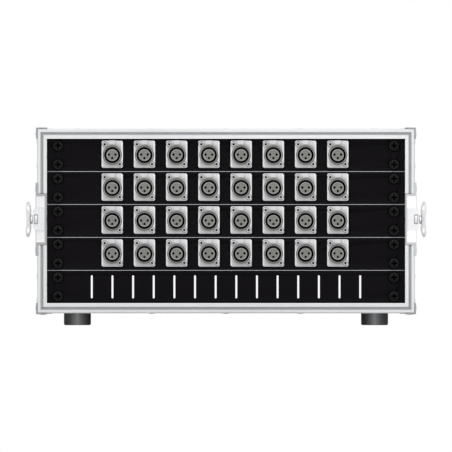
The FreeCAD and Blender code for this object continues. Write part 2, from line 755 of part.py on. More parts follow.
def handles():
    """Twist handles: a two-winged grip, its spindle and the cam disc with its eccentric pin."""
    made = body("handle_right")
    spindle = sketch(made, SIDE, "cam_in")
    circle(spindle, "axis_y", "latch_mid", "spindle")
    pad(made, spindle, "handle_in + handle_thick/2 - cam_in")
    disc = sketch(made, SIDE, "cam_in")
    circle(disc, "axis_y", "latch_mid", "cam_disc")
    pad(made, disc, "cam_thick")
    pin = sketch(made, SIDE, "hook_in - hook_thick/2")
    circle(pin, "axis_y + cam_throw", "latch_mid", "cam_pin")
    pad(made, pin, "cam_in + cam_thick/2 - hook_in + hook_thick/2")
    neck = sketch(made, SIDE, "housing_face + slide_gap")
    circle(neck, "axis_y", "latch_mid", "handle_collar")
    pad(made, neck, "handle_neck")
    grip = sketch(made, FRONT, "-(axis_y)")
    high = "handle_tall/2"
    polygon(grip, [
        ("handle_in", "latch_mid - wing_start"), ("handle_in + wing_slope", f"latch_mid - {high}"),
        ("handle_out", f"latch_mid - {high}"), ("handle_out", f"latch_mid + {high}"),
        ("handle_in + wing_slope", f"latch_mid + {high}"), ("handle_in", "latch_mid + wing_start")])
    pad(made, grip, "handle_wide", both=True)
    loops = sketch(made, FRONT)
    middle = "handle_out - loop_inset"
    for side in ("-", "+"):
        low = f"latch_mid {side} loop_place"
        rounded(loops, (f"{middle} - loop_wide/2", f"{middle} + loop_wide/2"),
                (f"{low} - loop_tall/2", f"{low} + loop_tall/2"), "loop_round")
    pocket(made, loops)
    waste = sketch(made, SIDE, "handle_out + handle_thick")
    over = "handle_tall"
    rectangle(waste, (f"axis_y - {over}", f"axis_y + {over}"), (f"latch_mid - {over}", f"latch_mid + {over}"))
    rounded(waste, ("axis_y - handle_wide/2", "axis_y + handle_wide/2"),
            (f"latch_mid - {high}", f"latch_mid + {high}"), "wing_round")
    pocket(made, waste, "2*handle_thick")
    node("latch_handle_right", made)
    node("latch_handle_left", mirror("handle_left", made))


def hooks():
    """Hook plates: a tongue with a bent lip, driven by the eccentric pin in a cross slot."""
    made = body("hook_right")
    plate = sketch(made, SIDE, "hook_in")
    narrow = "hook_tall/2"
    wide = "hook_wide/2"
    polygon(plate, [
        ("hook_front", f"latch_mid - {narrow}"), ("hook_front + hook_neck", f"latch_mid - {narrow}"),
        ("hook_front + hook_neck", f"latch_mid - {wide}"), ("hook_front + hook_long", f"latch_mid - {wide}"),
        ("hook_front + hook_long", f"latch_mid + {wide}"), ("hook_front + hook_neck", f"latch_mid + {wide}"),
        ("hook_front + hook_neck", f"latch_mid + {narrow}"), ("hook_front", f"latch_mid + {narrow}")])
    pad(made, plate, "hook_thick")
    lip = sketch(made, SIDE, "hook_in")
    rectangle(lip, ("hook_front", "hook_front + hook_lip"),
              (f"latch_mid - {narrow}", f"latch_mid + {narrow}"))
    pad(made, lip, "slot_out - 2*slide_gap - hook_in")
    slot = sketch(made, SIDE, "hook_out + hook_thick")
    room = "(cam_pin/2 + cam_slack)"
    reach = "(cam_throw + cam_pin/2 + slide_gap)"
    rectangle(slot, (f"axis_y + cam_throw - {room}", f"axis_y + cam_throw + {room}"),
              (f"latch_mid - {reach}", f"latch_mid + {reach}"))
    pocket(made, slot, "3*hook_thick")
    node("latch_hook_right", made)
    node("latch_hook_left", mirror("hook_left", made))


# ---------------------------------------------------------------- panels and rails

def unit_middle(number):
    """Height of a panel's middle, counted from the top."""
    return f"inside_high - end_gap - unit_height*({number} - 0.5)"


def blank_panel(name, number):
    """A one unit panel with its four rack holes."""
    made = body(name)
    face = sketch(made, FRONT)
    rectangle(face, ("-rack_width/2", "rack_width/2"),
              ("(panel_gap - unit_height)/2", "(unit_height - panel_gap)/2"))
    pad(made, face, "panel_thick", back=True)
    rack_holes = sketch(made, FRONT)
    for x in ("rack_hole", "-1*rack_hole"):
        for z in ("rack_hole_rise", "-rack_hole_rise"):
            circle(rack_holes, x, z, "rack_screw + 6*fit_gap")
    pocket(made, rack_holes)
    return place(made, y="panel_front", z=unit_middle(number))


def patch_panel(number):
    """A connector panel: eight round cut-outs, each with two screw holes."""
    made = blank_panel(f"patch_panel_{number}", number)
    cutout = sketch(made, FRONT)
    x = "(socket_shift - socket_pitch*(columns - 1)/2)"
    circle(cutout, x, "0", "panel_cut")
    for side in (1, -1):
        circle(cutout, f"{x} - {side}*screw_across/2", f"shell_rise + {side}*screw_upright/2",
               "flange_screw + 2*fit_gap")
    first = pocket(made, cutout)
    row_of(made, first, "H_Axis", "socket_pitch", "columns")
    node(f"patch_panel_{number}", made)


def vent_panel():
    """The lowest panel: a row of upright slots."""
    made = blank_panel("vent_panel", int(value("units")))
    slot = sketch(made, FRONT)
    x = "(-vent_pitch*(vent_slots - 1)/2)"
    rounded(slot, (f"{x} - vent_wide/2", f"{x} + vent_wide/2"), ("-vent_tall/2", "vent_tall/2"),
            "vent_round")
    first = pocket(made, slot)
    row_of(made, first, "H_Axis", "vent_pitch", "vent_slots")
    node("vent_panel", made)


def rails():
    """Two steel rack rails behind the panel ends, with a threaded hole for each rack screw."""
    made = body("rail_right")
    section = sketch(made, TOP, "inside_low + edge_gap")
    out = "half_open - fit_gap"
    polygon(section, [
        (f"{out} - rail_wide", "panel_back"), (out, "panel_back"), (out, "panel_back + rail_deep"),
        (f"{out} - rail_thick", "panel_back + rail_deep"), (f"{out} - rail_thick", "rail_back"),
        (f"{out} - rail_wide", "rail_back")])
    pad(made, section, "inside_high - inside_low - 2*edge_gap")
    threads = sketch(made, FRONT, "-(panel_front)")
    for side in ("+", "-"):
        circle(threads, "rack_hole", f"{unit_middle(1)} {side} rack_hole_rise", "rack_screw + 2*fit_gap")
    first = pocket(made, threads, "rail_thick + panel_thick + edge_gap")
    pattern = row_of(made, first, "V_Axis", "unit_height", "units")
    pattern.Reversed = True
    for face, sign in (("left", ""), ("right", "-1*")):
        for z in ("inside_low + rail_rivet_inset", "inside_high - rail_rivet_inset"):
            fasten(rivet, rivet_hole, face, f"{sign}(half_open - fit_gap - rail_thick)",
                   "panel_back + rail_deep/2", z)
    return group("rail_pair", [made, mirror("rail_left", made)])


# ---------------------------------------------------------------- connectors

def socket_shell():
    """Nickel plated flange and barrel, with the bore, the tab's notch and the screw holes."""
    made = body("shell")
    low = "shell_rise - shell_tall/2"
    flange = sketch(made, FRONT)
    rounded(flange, ("-shell_wide/2", "shell_wide/2"), (low, "shell_rise + shell_tall/2"), "shell_round")
    pad(made, flange, "shell_thick")
    barrel = sketch(made, FRONT)
    circle(barrel, "0", "0", "barrel_outside")
    pad(made, barrel, "barrel_long", back=True)
    collar = sketch(made, FRONT)
    circle(collar, "0", "0", "collar_outside")
    pad(made, collar, "shell_thick + collar_proud")
    bosses = sketch(made, FRONT)
    screw_holes = sketch(made, FRONT)
    for side in (1, -1):
        x = f"{-side}*screw_across/2"
        z = f"shell_rise + {side}*screw_upright/2"
        circle(bosses, x, z, "boss_outside")
        circle(screw_holes, x, z, "flange_screw + 4*fit_gap")
    pad(made, bosses, "shell_thick + boss_proud")
    pocket(made, screw_holes)
    bore = sketch(made, FRONT)
    circle(bore, "0", "0", "bore_inside")
    pocket(made, bore)
    notch = sketch(made, FRONT)
    rectangle(notch, ("-tab_wide/2 - slide_gap", "tab_wide/2 + slide_gap"),
              ("tab_low - slide_gap", "tab_top + slide_gap"))
    pocket(made, notch)
    skin = "(flange_face - button_back + tab_leaf + slide_gap)"
    channel = sketch(made, FRONT, f"shell_thick + {skin}")
    rectangle(channel, ("-tab_stem_wide/2 - slide_gap", "tab_stem_wide/2 + slide_gap"),
              ("bore_inside/2 - slide_gap", "tab_low"))
    pocket(made, channel, f"{skin} + tab_stem_long + tab_travel + slide_gap")
    dress(made, "Chamfer", "mouth_bevel",
          lambda edge: is_round_at(edge, "bore_inside", "-shell_thick - collar_proud"))
    dress(made, "Chamfer", "(flange_head - flange_screw)/2 - fit_gap",
          lambda edge: is_round_at(edge, "flange_screw + 4*fit_gap", "-shell_thick - boss_proud"))
    return made


def socket_insert():
    """Moulded insert: a core with a rimmed face, a thick foot and three contact holes."""
    made = body("insert")
    disc = "core_outside/2 - core_rim"
    step = "barrel_long - core_base"
    revolve(made, TOP, "Y_Axis", [
        ("0", "core_front + core_rim_deep"), (disc, "core_front + core_rim_deep"), (disc, "core_front"),
        ("core_outside/2", "core_front"), ("core_outside/2", step), ("bore_inside/2 - fit_gap/2", step),
        ("bore_inside/2 - fit_gap/2", "core_back"), ("0", "core_back")])
    mouths = sketch(made, FRONT)
    tubes = sketch(made, FRONT, "-(core_front + core_rim_deep + contact_skin)")
    for x, z in contact_places():
        circle(mouths, x, z, "contact_mouth")
        circle(tubes, x, z, "contact_outside + 2*fit_gap")
    pocket(made, mouths)
    pocket(made, tubes, "barrel_long + shell_thick")
    return made


def contact_places():
    """Middle of each contact, measured from the bore's middle."""
    return (("-contact_across/2", "contact_upper"), ("contact_across/2", "contact_upper"),
            ("0", "-contact_lower"))


def socket_contact():
    """Plated contact: a tube for the plug's pin, closed behind, with an open solder cup."""
    made = body("contact")
    front = "core_front + core_rim_deep + contact_skin + fit_gap"
    back = "barrel_long + contact_tail"
    inner = "contact_mouth/2"
    wall = f"{front} + contact_deep"
    cup_floor = f"{back} - cup_deep"
    revolve(made, TOP, "Y_Axis", [
        (inner, front), ("contact_outside/2", front), ("contact_outside/2", back), (inner, back),
        (inner, cup_floor), ("0", cup_floor), ("0", wall), (inner, wall)])
    cup = sketch(made, FRONT, f"-({cup_floor})")
    rectangle(cup, ("-contact_outside", "contact_outside"), ("cup_open", "contact_outside"))
    pocket(made, cup, "contact_tail")
    return made


def cross_recess(owner, level, wide, slot, deep):
    """Cut a cross recess into a screw head."""
    outline = sketch(owner, FRONT, level)
    half = f"({wide})/2"
    arm = f"({slot})/2"
    polygon(outline, [
        (arm, arm), (half, arm), (half, f"-{arm}"), (arm, f"-{arm}"), (arm, f"-{half}"),
        (f"-{arm}", f"-{half}"), (f"-{arm}", f"-{arm}"), (f"-{half}", f"-{arm}"), (f"-{half}", arm),
        (f"-{arm}", arm), (f"-{arm}", half), (arm, half)])
    pocket(owner, outline, deep)


def flange_screw():
    """Countersunk screw that holds a connector to its panel, head flush with the boss."""
    made = body("small_screw")
    front = "-shell_thick - boss_proud + fit_gap"
    cone = "(flange_head - flange_screw)/2 - 2*fit_gap"
    revolve(made, TOP, "Y_Axis", [
        ("0", front), ("flange_head/2 - fit_gap", front), ("flange_screw/2", f"{front} + {cone} + fit_gap"),
        ("flange_screw/2", f"{front} + flange_screw_long"), ("0", f"{front} + flange_screw_long")])
    cross_recess(made, "shell_thick + boss_proud", "small_recess_wide", "small_recess_slot",
                 "small_recess_deep + fit_gap")
    return made


def cup_washer():
    """Pressed cup washer under a rack screw's head."""
    made = body("cup")
    front = "-washer_tall"
    seat = "fit_gap - washer_seat"
    revolve(made, TOP, "Y_Axis", [
        ("washer_outside/2", "0"), ("washer_front/2", front), ("rack_head/2 + fit_gap", front),
        ("rack_head/2 + fit_gap - head_cone", seat), ("rack_screw/2 + 3*fit_gap", seat),
        ("rack_screw/2 + 3*fit_gap", "0")])
    return made


def rack_screw():
    """Oval countersunk rack screw with a cross recess."""
    made = body("big_screw")
    front = "-washer_tall - head_crown"
    revolve(made, TOP, "Y_Axis", [
        ("0", front), ("head_flat/2", front), ("rack_head/2 - fit_gap", "-washer_tall"),
        ("rack_head/2 - fit_gap - head_cone", "-washer_seat"), ("rack_screw/2", "-washer_seat"),
        ("rack_screw/2", "rack_screw_long"), ("0", "rack_screw_long")])
    cross_recess(made, "washer_tall + head_crown", "recess_wide", "recess_slot", "recess_deep")
    return made


def socket_x(column):
    """Place of a connector along its row."""
    return f"socket_shift + socket_pitch*({column} - (columns + 1)/2)"


def release_tab(row, column):
    """Release tab: a button with a link and a leaf spring behind it, in one piece."""
    name = f"release_tab_r{row}_c{column}"
    made = body(name)
    button = sketch(made, FRONT, "-(button_back)")
    rounded(button, ("-tab_wide/2", "tab_wide/2"), ("tab_low", "tab_top"), "tab_leaf")
    pad(made, button, "tab_thick")
    leaf = sketch(made, SIDE)
    polygon(leaf, [
        ("button_back", "tab_low + tab_leaf"), ("button_back - tab_leaf", "tab_low + tab_leaf"),
        ("button_back - tab_leaf", "leaf_low"), ("tab_stem_long - shell_thick", "leaf_low"),
        ("tab_stem_long - shell_thick", "leaf_high"), ("button_back", "leaf_high")])
    pad(made, leaf, "tab_stem_wide", both=True)
    place(made, socket_x(column), "panel_front", unit_middle(row))
    node(name, made)


def connectors():
    """One master of each connector piece, repeated on every row and column."""
    masters = {"connector_shells": socket_shell(), "connector_inserts": socket_insert()}
    contact = socket_contact()
    screw = flange_screw()
    sets = {name: [] for name in (*masters, "socket_contacts", "flange_screws")}
    plain = FreeCAD.Rotation()
    for row in range(1, int(value("patch_rows")) + 1):
        for column in range(1, int(value("columns")) + 1):
            tag = f"r{row}_c{column}"
            x = socket_x(column)
            z = unit_middle(row)
            for name, master in masters.items():
                sets[name].append(copy(f"{name}_{tag}", master, plain, x, "panel_front", z))
            for i, (across, up) in enumerate(contact_places(), 1):
                sets["socket_contacts"].append(copy(f"contact_{tag}_{i}", contact, plain, f"{x} + ({across})",
                                                    "panel_front", f"{z} + ({up})"))
            for i, side in enumerate((1, -1), 1):
                sets["flange_screws"].append(copy(f"screw_{tag}_{i}", screw, plain,
                                                  f"{x} - {side}*screw_across/2", "panel_front",
                                                  f"{z} + shell_rise + {side}*screw_upright/2"))
            release_tab(row, column)
    for name, things in sets.items():
        node(name, group(name, things))


def rack_fixings():
    """Rack screws in cup washers, four to a panel."""
    masters = {"rack_screws": rack_screw(), "cup_washers": cup_washer()}
    plain = FreeCAD.Rotation()
    for name, master in masters.items():
        things = []
        for number in range(1, int(value("units")) + 1):
            for x in ("rack_hole", "-1*rack_hole"):
                for side in ("+", "-"):
                    tag = f"{name}_{len(things) + 1}"
                    z = f"{unit_middle(number)} {side} rack_hole_rise"
                    things.append(copy(tag, master, plain, x, "panel_front", z))
        node(name, group(name, things))


# ---------------------------------------------------------------- the assembly

notch_room = "(tub_half + edge_gap)"
notch_right = block("dish_notch_right", ("board_in - rim_face", "half_wide + edge_leg"),
                    ("half_depth*-2", "dish_back + dish_wall + edge_gap"),
                    (f"latch_mid - {notch_room}", f"latch_mid + {notch_room}"))
dish_notch = group("dish_notch", [notch_right, mirror("dish_notch_left", notch_right)])
leg_room = "(flange_tall/2 + fit_gap)"
leg_right = block("leg_notch_right", ("board_out", "half_wide + edge_leg"), ("half_depth*-2", "dish_back"),
                  (f"latch_mid - {leg_room}", f"latch_mid + {leg_room}"))
leg_notch = group("leg_notch", [leg_right, mirror("leg_notch_left", leg_right)])

dish_pair = dishes()
housing_pair = housings()
rail_pair = rails()
feet()
rivet_rows()
drilled = group("fastener_holes", holes)

boards()
rims()
edges_and_braces()
node("latch_dishes", cut("latch_dishes", dish_pair, drilled))
node("latch_housings", cut("latch_housings", housing_pair, drilled))
node("rack_rails", cut("rack_rails", rail_pair, drilled))
node("case_fasteners", group("case_fasteners", fasteners))
handles()
hooks()
for patch_number in range(1, int(value("patch_rows")) + 1):
    patch_panel(patch_number)
vent_panel()
connectors()
rack_fixings()

doc.recompute()
broken = [thing.Name for thing in doc.Objects if {"Invalid", "Error"} & set(thing.State)]
if broken:
    raise RuntimeError("failed to build: " + ", ".join(broken))
for part in nodes:
    if part.Shape.isNull() or not part.Shape.isValid() or not part.Shape.Solids:
        raise RuntimeError(f"{part.Label} has no valid shape")

os.makedirs("parts", exist_ok=True)
for part in nodes:
    part.Shape.exportStep(f"parts/{part.Label}.step")
    print(f"{part.Label}: {len(part.Shape.Solids)} solids, {part.Shape.Volume / 1000:.1f} cm3")
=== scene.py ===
import math

import bmesh
import bpy
from mathutils import Matrix, Vector


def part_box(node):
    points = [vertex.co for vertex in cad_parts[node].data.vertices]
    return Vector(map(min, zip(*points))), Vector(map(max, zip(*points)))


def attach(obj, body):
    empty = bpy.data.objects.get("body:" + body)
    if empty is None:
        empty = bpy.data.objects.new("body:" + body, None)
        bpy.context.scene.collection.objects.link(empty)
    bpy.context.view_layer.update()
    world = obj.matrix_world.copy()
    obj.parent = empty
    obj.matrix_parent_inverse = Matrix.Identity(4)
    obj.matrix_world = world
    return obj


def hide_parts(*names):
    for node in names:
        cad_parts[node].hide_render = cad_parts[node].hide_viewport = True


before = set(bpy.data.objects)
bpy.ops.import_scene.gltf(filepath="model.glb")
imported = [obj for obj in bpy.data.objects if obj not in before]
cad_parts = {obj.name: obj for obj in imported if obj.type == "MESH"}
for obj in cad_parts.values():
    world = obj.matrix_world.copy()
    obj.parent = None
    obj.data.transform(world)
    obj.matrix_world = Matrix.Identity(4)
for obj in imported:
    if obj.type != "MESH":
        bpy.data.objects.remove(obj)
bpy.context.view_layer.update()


# ---------------------------------------------------------------- boards
# The case's four walls, 9 mm birch plywood glued into the rims. Outside they carry a pale grey
# laminate with a pebbled grain that hides scuffs; inside the sanded face veneer is left bare.

def linear(code):
    """The linear colour of an sRGB hex code."""
    shares = [int(code[i:i + 2], 16) / 255 for i in (1, 3, 5)]
    return tuple(s / 12.92 if s <= 0.04045 else ((s + 0.055) / 1.055) ** 2.4 for s in shares) + (1.0,)


def add(tree, kind, settings=(), inputs=()):
    """Add a shader node of a kind, set its own values and fill its inputs with values or links."""
    made = tree.nodes.new("ShaderNode" + kind)
    for name, value in dict(settings).items():
        setattr(made, name, value)
    for name, value in dict(inputs).items():
        if isinstance(value, bpy.types.NodeSocket):
            tree.links.new(value, made.inputs[name])
        else:
            made.inputs[name].default_value = value
    return made


def finish(name, inputs):
    """Start a finish: a glossy shader with values that are the same all over."""
    made = bpy.data.materials.new(name)
    made.use_nodes = True
    made.node_tree.nodes.clear()
    shader = add(made.node_tree, "BsdfPrincipled", {}, inputs)
    add(made.node_tree, "OutputMaterial", {}, {"Surface": shader.outputs["BSDF"]})
    return made, made.node_tree, shader


def two_tones(tree, pattern, low, high, plain, other, kind="LINEAR"):
    """A plain colour where a pattern is below low, and another colour where it is above high."""
    share = add(tree, "MapRange", {"interpolation_type": kind},
                {"Value": pattern, "From Min": low, "From Max": high}).outputs[0]
    return add(tree, "Mix", {"data_type": "RGBA"},
               {"Factor": share, "A": linear(plain), "B": linear(other)}).outputs["Result"]


def dress(made, *names):
    """Give pieces that come from the frame a finish."""
    for name in names:
        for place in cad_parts[name].material_slots:
            place.material = made


MM = 0.001
LAMINATE = "#BDBEC0"
LAMINATE_SCUFF = "#A9AAAC"
PEBBLE = 0.9 * MM
VENEER = "#D2B383"
VENEER_DARK = "#B9945F"
GRAIN_WIDE = 3.5 * MM
GRAIN_LONG = 90 * MM
SCUFFS_PER_METRE = 11.0

OUTWARD = {"top_board": (0, 0, 1), "bottom_board": (0, 0, -1),
           "left_board": (-1, 0, 0), "right_board": (1, 0, 0)}
for board, outward in OUTWARD.items():
    # laminated plywood: a matt film with a fine relief outside, open straight grain inside
    laminated, tree, shader = finish("laminated_plywood_" + board, {"Roughness": 0.55, "Specular IOR Level": 0.3})
    place = add(tree, "TexCoord").outputs["Object"]
    facing = add(tree, "VectorMath", {"operation": "DOT_PRODUCT"},
                 {0: add(tree, "NewGeometry").outputs["True Normal"], 1: outward}).outputs["Value"]
    # the film goes round the edges as well
    outside = add(tree, "Math", {"operation": "GREATER_THAN"}, {0: facing, 1: -0.5}).outputs[0]
    pebbles = add(tree, "TexNoise", {}, {"Vector": place, "Scale": 1 / PEBBLE, "Detail": 2.0})
    scuffs = add(tree, "TexNoise", {},
                 {"Vector": place, "Scale": SCUFFS_PER_METRE, "Detail": 8.0, "Roughness": 0.72})
    film = two_tones(tree, scuffs.outputs["Fac"], 0.55, 0.75, LAMINATE, LAMINATE_SCUFF)
    # the face veneer's grain runs along each board, left to right or front to back
    stretch = (1 / GRAIN_LONG, 1 / GRAIN_WIDE, 1 / GRAIN_WIDE)
    if outward[0]:
        stretch = (1 / GRAIN_WIDE, 1 / GRAIN_LONG, 1 / GRAIN_WIDE)
    stretched = add(tree, "VectorMath", {"operation": "MULTIPLY"}, {0: place, 1: stretch}).outputs[0]
    grain = add(tree, "TexNoise", {}, {"Vector": stretched, "Scale": 1.0, "Detail": 5.0, "Roughness": 0.65})
    wood = two_tones(tree, grain.outputs["Fac"], 0.35, 0.68, VENEER, VENEER_DARK)
    colour = add(tree, "Mix", {"data_type": "RGBA"}, {"Factor": outside, "A": wood, "B": film})
    tree.links.new(colour.outputs["Result"], shader.inputs["Base Color"])
    relief = add(tree, "Mix", {}, {"Factor": outside, "A": grain.outputs["Fac"], "B": pebbles.outputs["Fac"]})
    bump = add(tree, "Bump", {}, {"Strength": 0.35, "Distance": 0.25 * MM, "Height": relief.outputs[0]})
    tree.links.new(bump.outputs["Normal"], shader.inputs["Normal"])
    dress(laminated, board)


# ---------------------------------------------------------------- rims and edge angles
# Drawn aluminium extrusions, cut to length, mitred at the corners and satin anodised. Two rims close
# the boards' ends, each with a groove for a lid's tongue, and four angles cover their long edges.

ANODISED = "#D5D7D7"
ANODISED_DULL = "#C9CBCB"
# drawing lines are about 0.1 mm apart; these are coarser so that they show
DRAW_LINE = 0.7 * MM
DRAW_LONG = 160 * MM
HANDLED_PER_METRE = 14.0

# painted shade: the grooves get a matt grey a little darker than the lips' metal, for the shade that falls in them
GROOVE_SHADE = "#C4C6C8"
GROOVE_START = 4.5 * MM
GROOVE_END = 8.9 * MM
GROOVE_DEEP = 5.4 * MM
FACE_SKIN = 0.1 * MM

rim_low, rim_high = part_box("front_rim")
rim_middle = (rim_high.z + rim_low.z) / 2
half_tall = (rim_high.z - rim_low.z) / 2
mitre_start = rim_high.x - half_tall
half_depth = -rim_low.y

for lengths in ("front_rim", "rear_rim", "edge_angles"):
    # satin anodised aluminium: soft white metal with lines along each length
    anodised, tree, shader = finish("anodised_aluminium_" + lengths, {"Metallic": 1.0})
    place = add(tree, "TexCoord").outputs["Object"]
    if lengths == "edge_angles":
        drawn = add(tree, "VectorMath", {"operation": "MULTIPLY"},
                    {0: place, 1: (1 / DRAW_LINE, 1 / DRAW_LONG, 1 / DRAW_LINE)}).outputs[0]
    else:
        # a rim's lines turn at the mitre
        parts = add(tree, "SeparateXYZ", {}, {"Vector": place}).outputs
        across = add(tree, "Math", {"operation": "ABSOLUTE"}, {0: parts["X"]}).outputs[0]
        rise = add(tree, "Math", {"operation": "SUBTRACT"}, {0: parts["Z"], 1: rim_middle}).outputs[0]
        height = add(tree, "Math", {"operation": "ABSOLUTE"}, {0: rise}).outputs[0]
        beyond = add(tree, "Math", {"operation": "SUBTRACT"}, {0: across, 1: mitre_start}).outputs[0]
        upright = add(tree, "Math", {"operation": "GREATER_THAN"}, {0: beyond, 1: height}).outputs[0]
        level_lines = add(tree, "VectorMath", {"operation": "MULTIPLY"},
                          {0: place, 1: (1 / DRAW_LONG, 1 / DRAW_LINE, 1 / DRAW_LINE)}).outputs[0]
        upright_lines = add(tree, "VectorMath", {"operation": "MULTIPLY"},
                            {0: place, 1: (1 / DRAW_LINE, 1 / DRAW_LINE, 1 / DRAW_LONG)}).outputs[0]
        drawn = add(tree, "Mix", {"data_type": "VECTOR"},
                    {"Factor": upright, "A": level_lines, "B": upright_lines}).outputs["Result"]
        from_side = add(tree, "Math", {"operation": "SUBTRACT"}, {0: rim_high.x, 1: across}).outputs[0]
        from_top = add(tree, "Math", {"operation": "SUBTRACT"}, {0: half_tall, 1: height}).outputs[0]
        inward = add(tree, "Math", {"operation": "MINIMUM"}, {0: from_side, 1: from_top}).outputs[0]
        reach = add(tree, "Math", {"operation": "ABSOLUTE"}, {0: parts["Y"]}).outputs[0]
        groove_shade = 1.0
        for what, test, limit in ((inward, "GREATER_THAN", GROOVE_START), (inward, "LESS_THAN", GROOVE_END),
                                  (reach, "LESS_THAN", half_depth - FACE_SKIN),
                                  (reach, "GREATER_THAN", half_depth - GROOVE_DEEP)):
            inside = add(tree, "Math", {"operation": test}, {0: what, 1: limit}).outputs[0]
            groove_shade = add(tree, "Math", {"operation": "MULTIPLY"}, {0: groove_shade, 1: inside}).outputs[0]
    lines = add(tree, "TexNoise", {}, {"Vector": drawn, "Scale": 1.0, "Detail": 3.0, "Roughness": 0.6})
    handled = add(tree, "TexNoise", {}, {"Vector": place, "Scale": HANDLED_PER_METRE, "Detail": 4.0})
    dull = add(tree, "Math", {"operation": "MULTIPLY"}, {0: lines.outputs["Fac"], 1: handled.outputs["Fac"]})
    colour = two_tones(tree, dull.outputs[0], 0.1, 0.45, ANODISED, ANODISED_DULL)
    # painted shade: the rims' grooves take a darker matt grey in place of the metal
    if lengths != "edge_angles":
        colour = add(tree, "Mix", {"data_type": "RGBA"},
                     {"Factor": groove_shade, "A": colour, "B": linear(GROOVE_SHADE)}).outputs["Result"]
        metal = add(tree, "Math", {"operation": "SUBTRACT"}, {0: 1.0, 1: groove_shade})
        tree.links.new(metal.outputs[0], shader.inputs["Metallic"])
    tree.links.new(colour, shader.inputs["Base Color"])
    rough = add(tree, "MapRange", {}, {"Value": dull.outputs[0], "To Min": 0.3, "To Max": 0.46})
    tree.links.new(rough.outputs[0], shader.inputs["Roughness"])
    bump = add(tree, "Bump", {}, {"Strength": 0.12, "Distance": 0.1 * MM, "Height": lines.outputs["Fac"]})
    tree.links.new(bump.outputs["Normal"], shader.inputs["Normal"])
    dress(anodised, lengths)


# ---------------------------------------------------------------- corner braces and rails
# Sheet steel pressed to shape and zinc plated: braces over the corners of the case, and a rail
# behind each end of the panels.

def patchy_gloss(tree, shader, patch, low, high, detail=4.0, uneven=0.5):
    """Vary a finish's roughness in patches of about one size; gives back the patches."""
    place = add(tree, "TexCoord").outputs["Object"]
    noise = add(tree, "TexNoise", {},
                {"Vector": place, "Scale": 1 / patch, "Detail": detail, "Roughness": uneven})
    rough = add(tree, "MapRange", {}, {"Value": noise.outputs["Fac"], "To Min": low, "To Max": high})
    tree.links.new(rough.outputs[0], shader.inputs["Roughness"])
    return noise.outputs["Fac"]


ZINC = "#A2A4A6"
ZINC_CLOUD = "#95989A"
CLOUD = 11 * MM

# bright zinc plating: cool grey, clouded in patches of about a centimetre
zinc, tree, shader = finish("bright_zinc_plating", {"Metallic": 1.0})
clouds = patchy_gloss(tree, shader, CLOUD, 0.26, 0.48, 5.0, 0.6)
tree.links.new(two_tones(tree, clouds, 0.38, 0.66, ZINC, ZINC_CLOUD), shader.inputs["Base Color"])
dress(zinc, "corner_braces", "rack_rails")


# ---------------------------------------------------------------- rivets and foot screws
# Domed aluminium blind rivets hold the extrusions, braces, dishes and rails to the boards. Their
# pins break off inside and leave a small pit. Four pan head screws hold the feet.

STEPS = 48
WELD = 0.002 * MM
CREASE = math.radians(38)


def turned(line, steps=STEPS):
    """A form turned about the Y axis from a line of (radius, depth) points."""
    made = bmesh.new()
    rings = []
    for radius, depth in line:
        if radius:
            turns = [math.tau * i / steps for i in range(steps)]
            rings.append([made.verts.new((radius * math.sin(a), depth, radius * math.cos(a))) for a in turns])
        else:
            rings.append([made.verts.new((0, depth, 0))])
    for one, two in zip(rings, rings[1:]):
        if one == two:
            continue
        for i in range(steps):
            corners = (one[i % len(one)], one[(i + 1) % len(one)], two[(i + 1) % len(two)], two[i % len(two)])
            made.faces.new(list(dict.fromkeys(corners)))
    bmesh.ops.remove_doubles(made, verts=made.verts, dist=0.0001 * MM)
    bmesh.ops.recalc_face_normals(made, faces=made.faces)
    return made


def solids(node):
    """The points of each separate solid of a node in the frame, in the frame's own order."""
    form = bmesh.new()
    form.from_mesh(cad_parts[node].data)
    bmesh.ops.remove_doubles(form, verts=form.verts, dist=WELD)
    left = set(form.verts)
    found = []
    for first in form.verts:
        if first not in left:
            continue
        left.remove(first)
        group, edge = [], [first]
        while edge:
            here = edge.pop()
            group.append(here.co.copy())
            for side in here.link_edges:
                other = side.other_vert(here)
                if other in left:
                    left.remove(other)
                    edge.append(other)
        found.append(group)
    form.free()
    return found


def as_mesh(form, name="form"):
    """Turn a form into a mesh and give up the form."""
    mesh = bpy.data.meshes.new(name)
    form.to_mesh(mesh)
    form.free()
    return mesh


def repeat(form, places):
    """One form with a copy of the given one at each place."""
    pattern = as_mesh(form)
    made = bmesh.new()
    for place in places:
        copy = pattern.copy()
        copy.transform(place)
        made.from_mesh(copy)
        bpy.data.meshes.remove(copy)
    bpy.data.meshes.remove(pattern)
    return made


def piece(name, form, finishes, body, slot, *stands_for):
    """Turn a form into a piece that rides on a body and stands for nodes of the frame."""
    mesh = as_mesh(form, name)
    for one in finishes:
        mesh.materials.append(one)
    mesh.shade_smooth()
    mesh.set_sharp_from_angle(angle=CREASE)
    made = bpy.data.objects.new(name, mesh)
    bpy.context.scene.collection.objects.link(made)
    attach(made, body)
    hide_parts(*stands_for)


CASE = "case"
RIVET = "#C4C6C7"
RIVET_RADIUS = 4 * MM
RIVET_PROUD = 0.6 * MM
RIVET_PIT = 1.1 * MM
RIVET_LONG = 8.6 * MM
SHANK = 2 * MM
FOOT_SCREW_RADIUS = 5.5 * MM
FOOT_SCREW_PROUD = 3 * MM
FOOT_SCREW_SHANK = 2.4 * MM
FOOT_SCREW_LONG = 17 * MM
TUMBLE = 4 * MM
# the rounding of each head: how far from the axis, and how far below the top
RIVET_DOME = [(RIVET_PIT - 0.1 * MM, 0.3 * MM), (RIVET_PIT, 0.03 * MM), (RIVET_PIT + 0.2 * MM, 0),
              (0.6 * RIVET_RADIUS, 0.04 * MM), (0.8 * RIVET_RADIUS, 0.15 * MM), (0.93 * RIVET_RADIUS, 0.3 * MM),
              (RIVET_RADIUS, 0.5 * MM)]
PAN_HEAD = [(3.6 * MM, 0), (4.8 * MM, 0.4 * MM), (5.3 * MM, 1 * MM), (FOOT_SCREW_RADIUS, 1.8 * MM)]

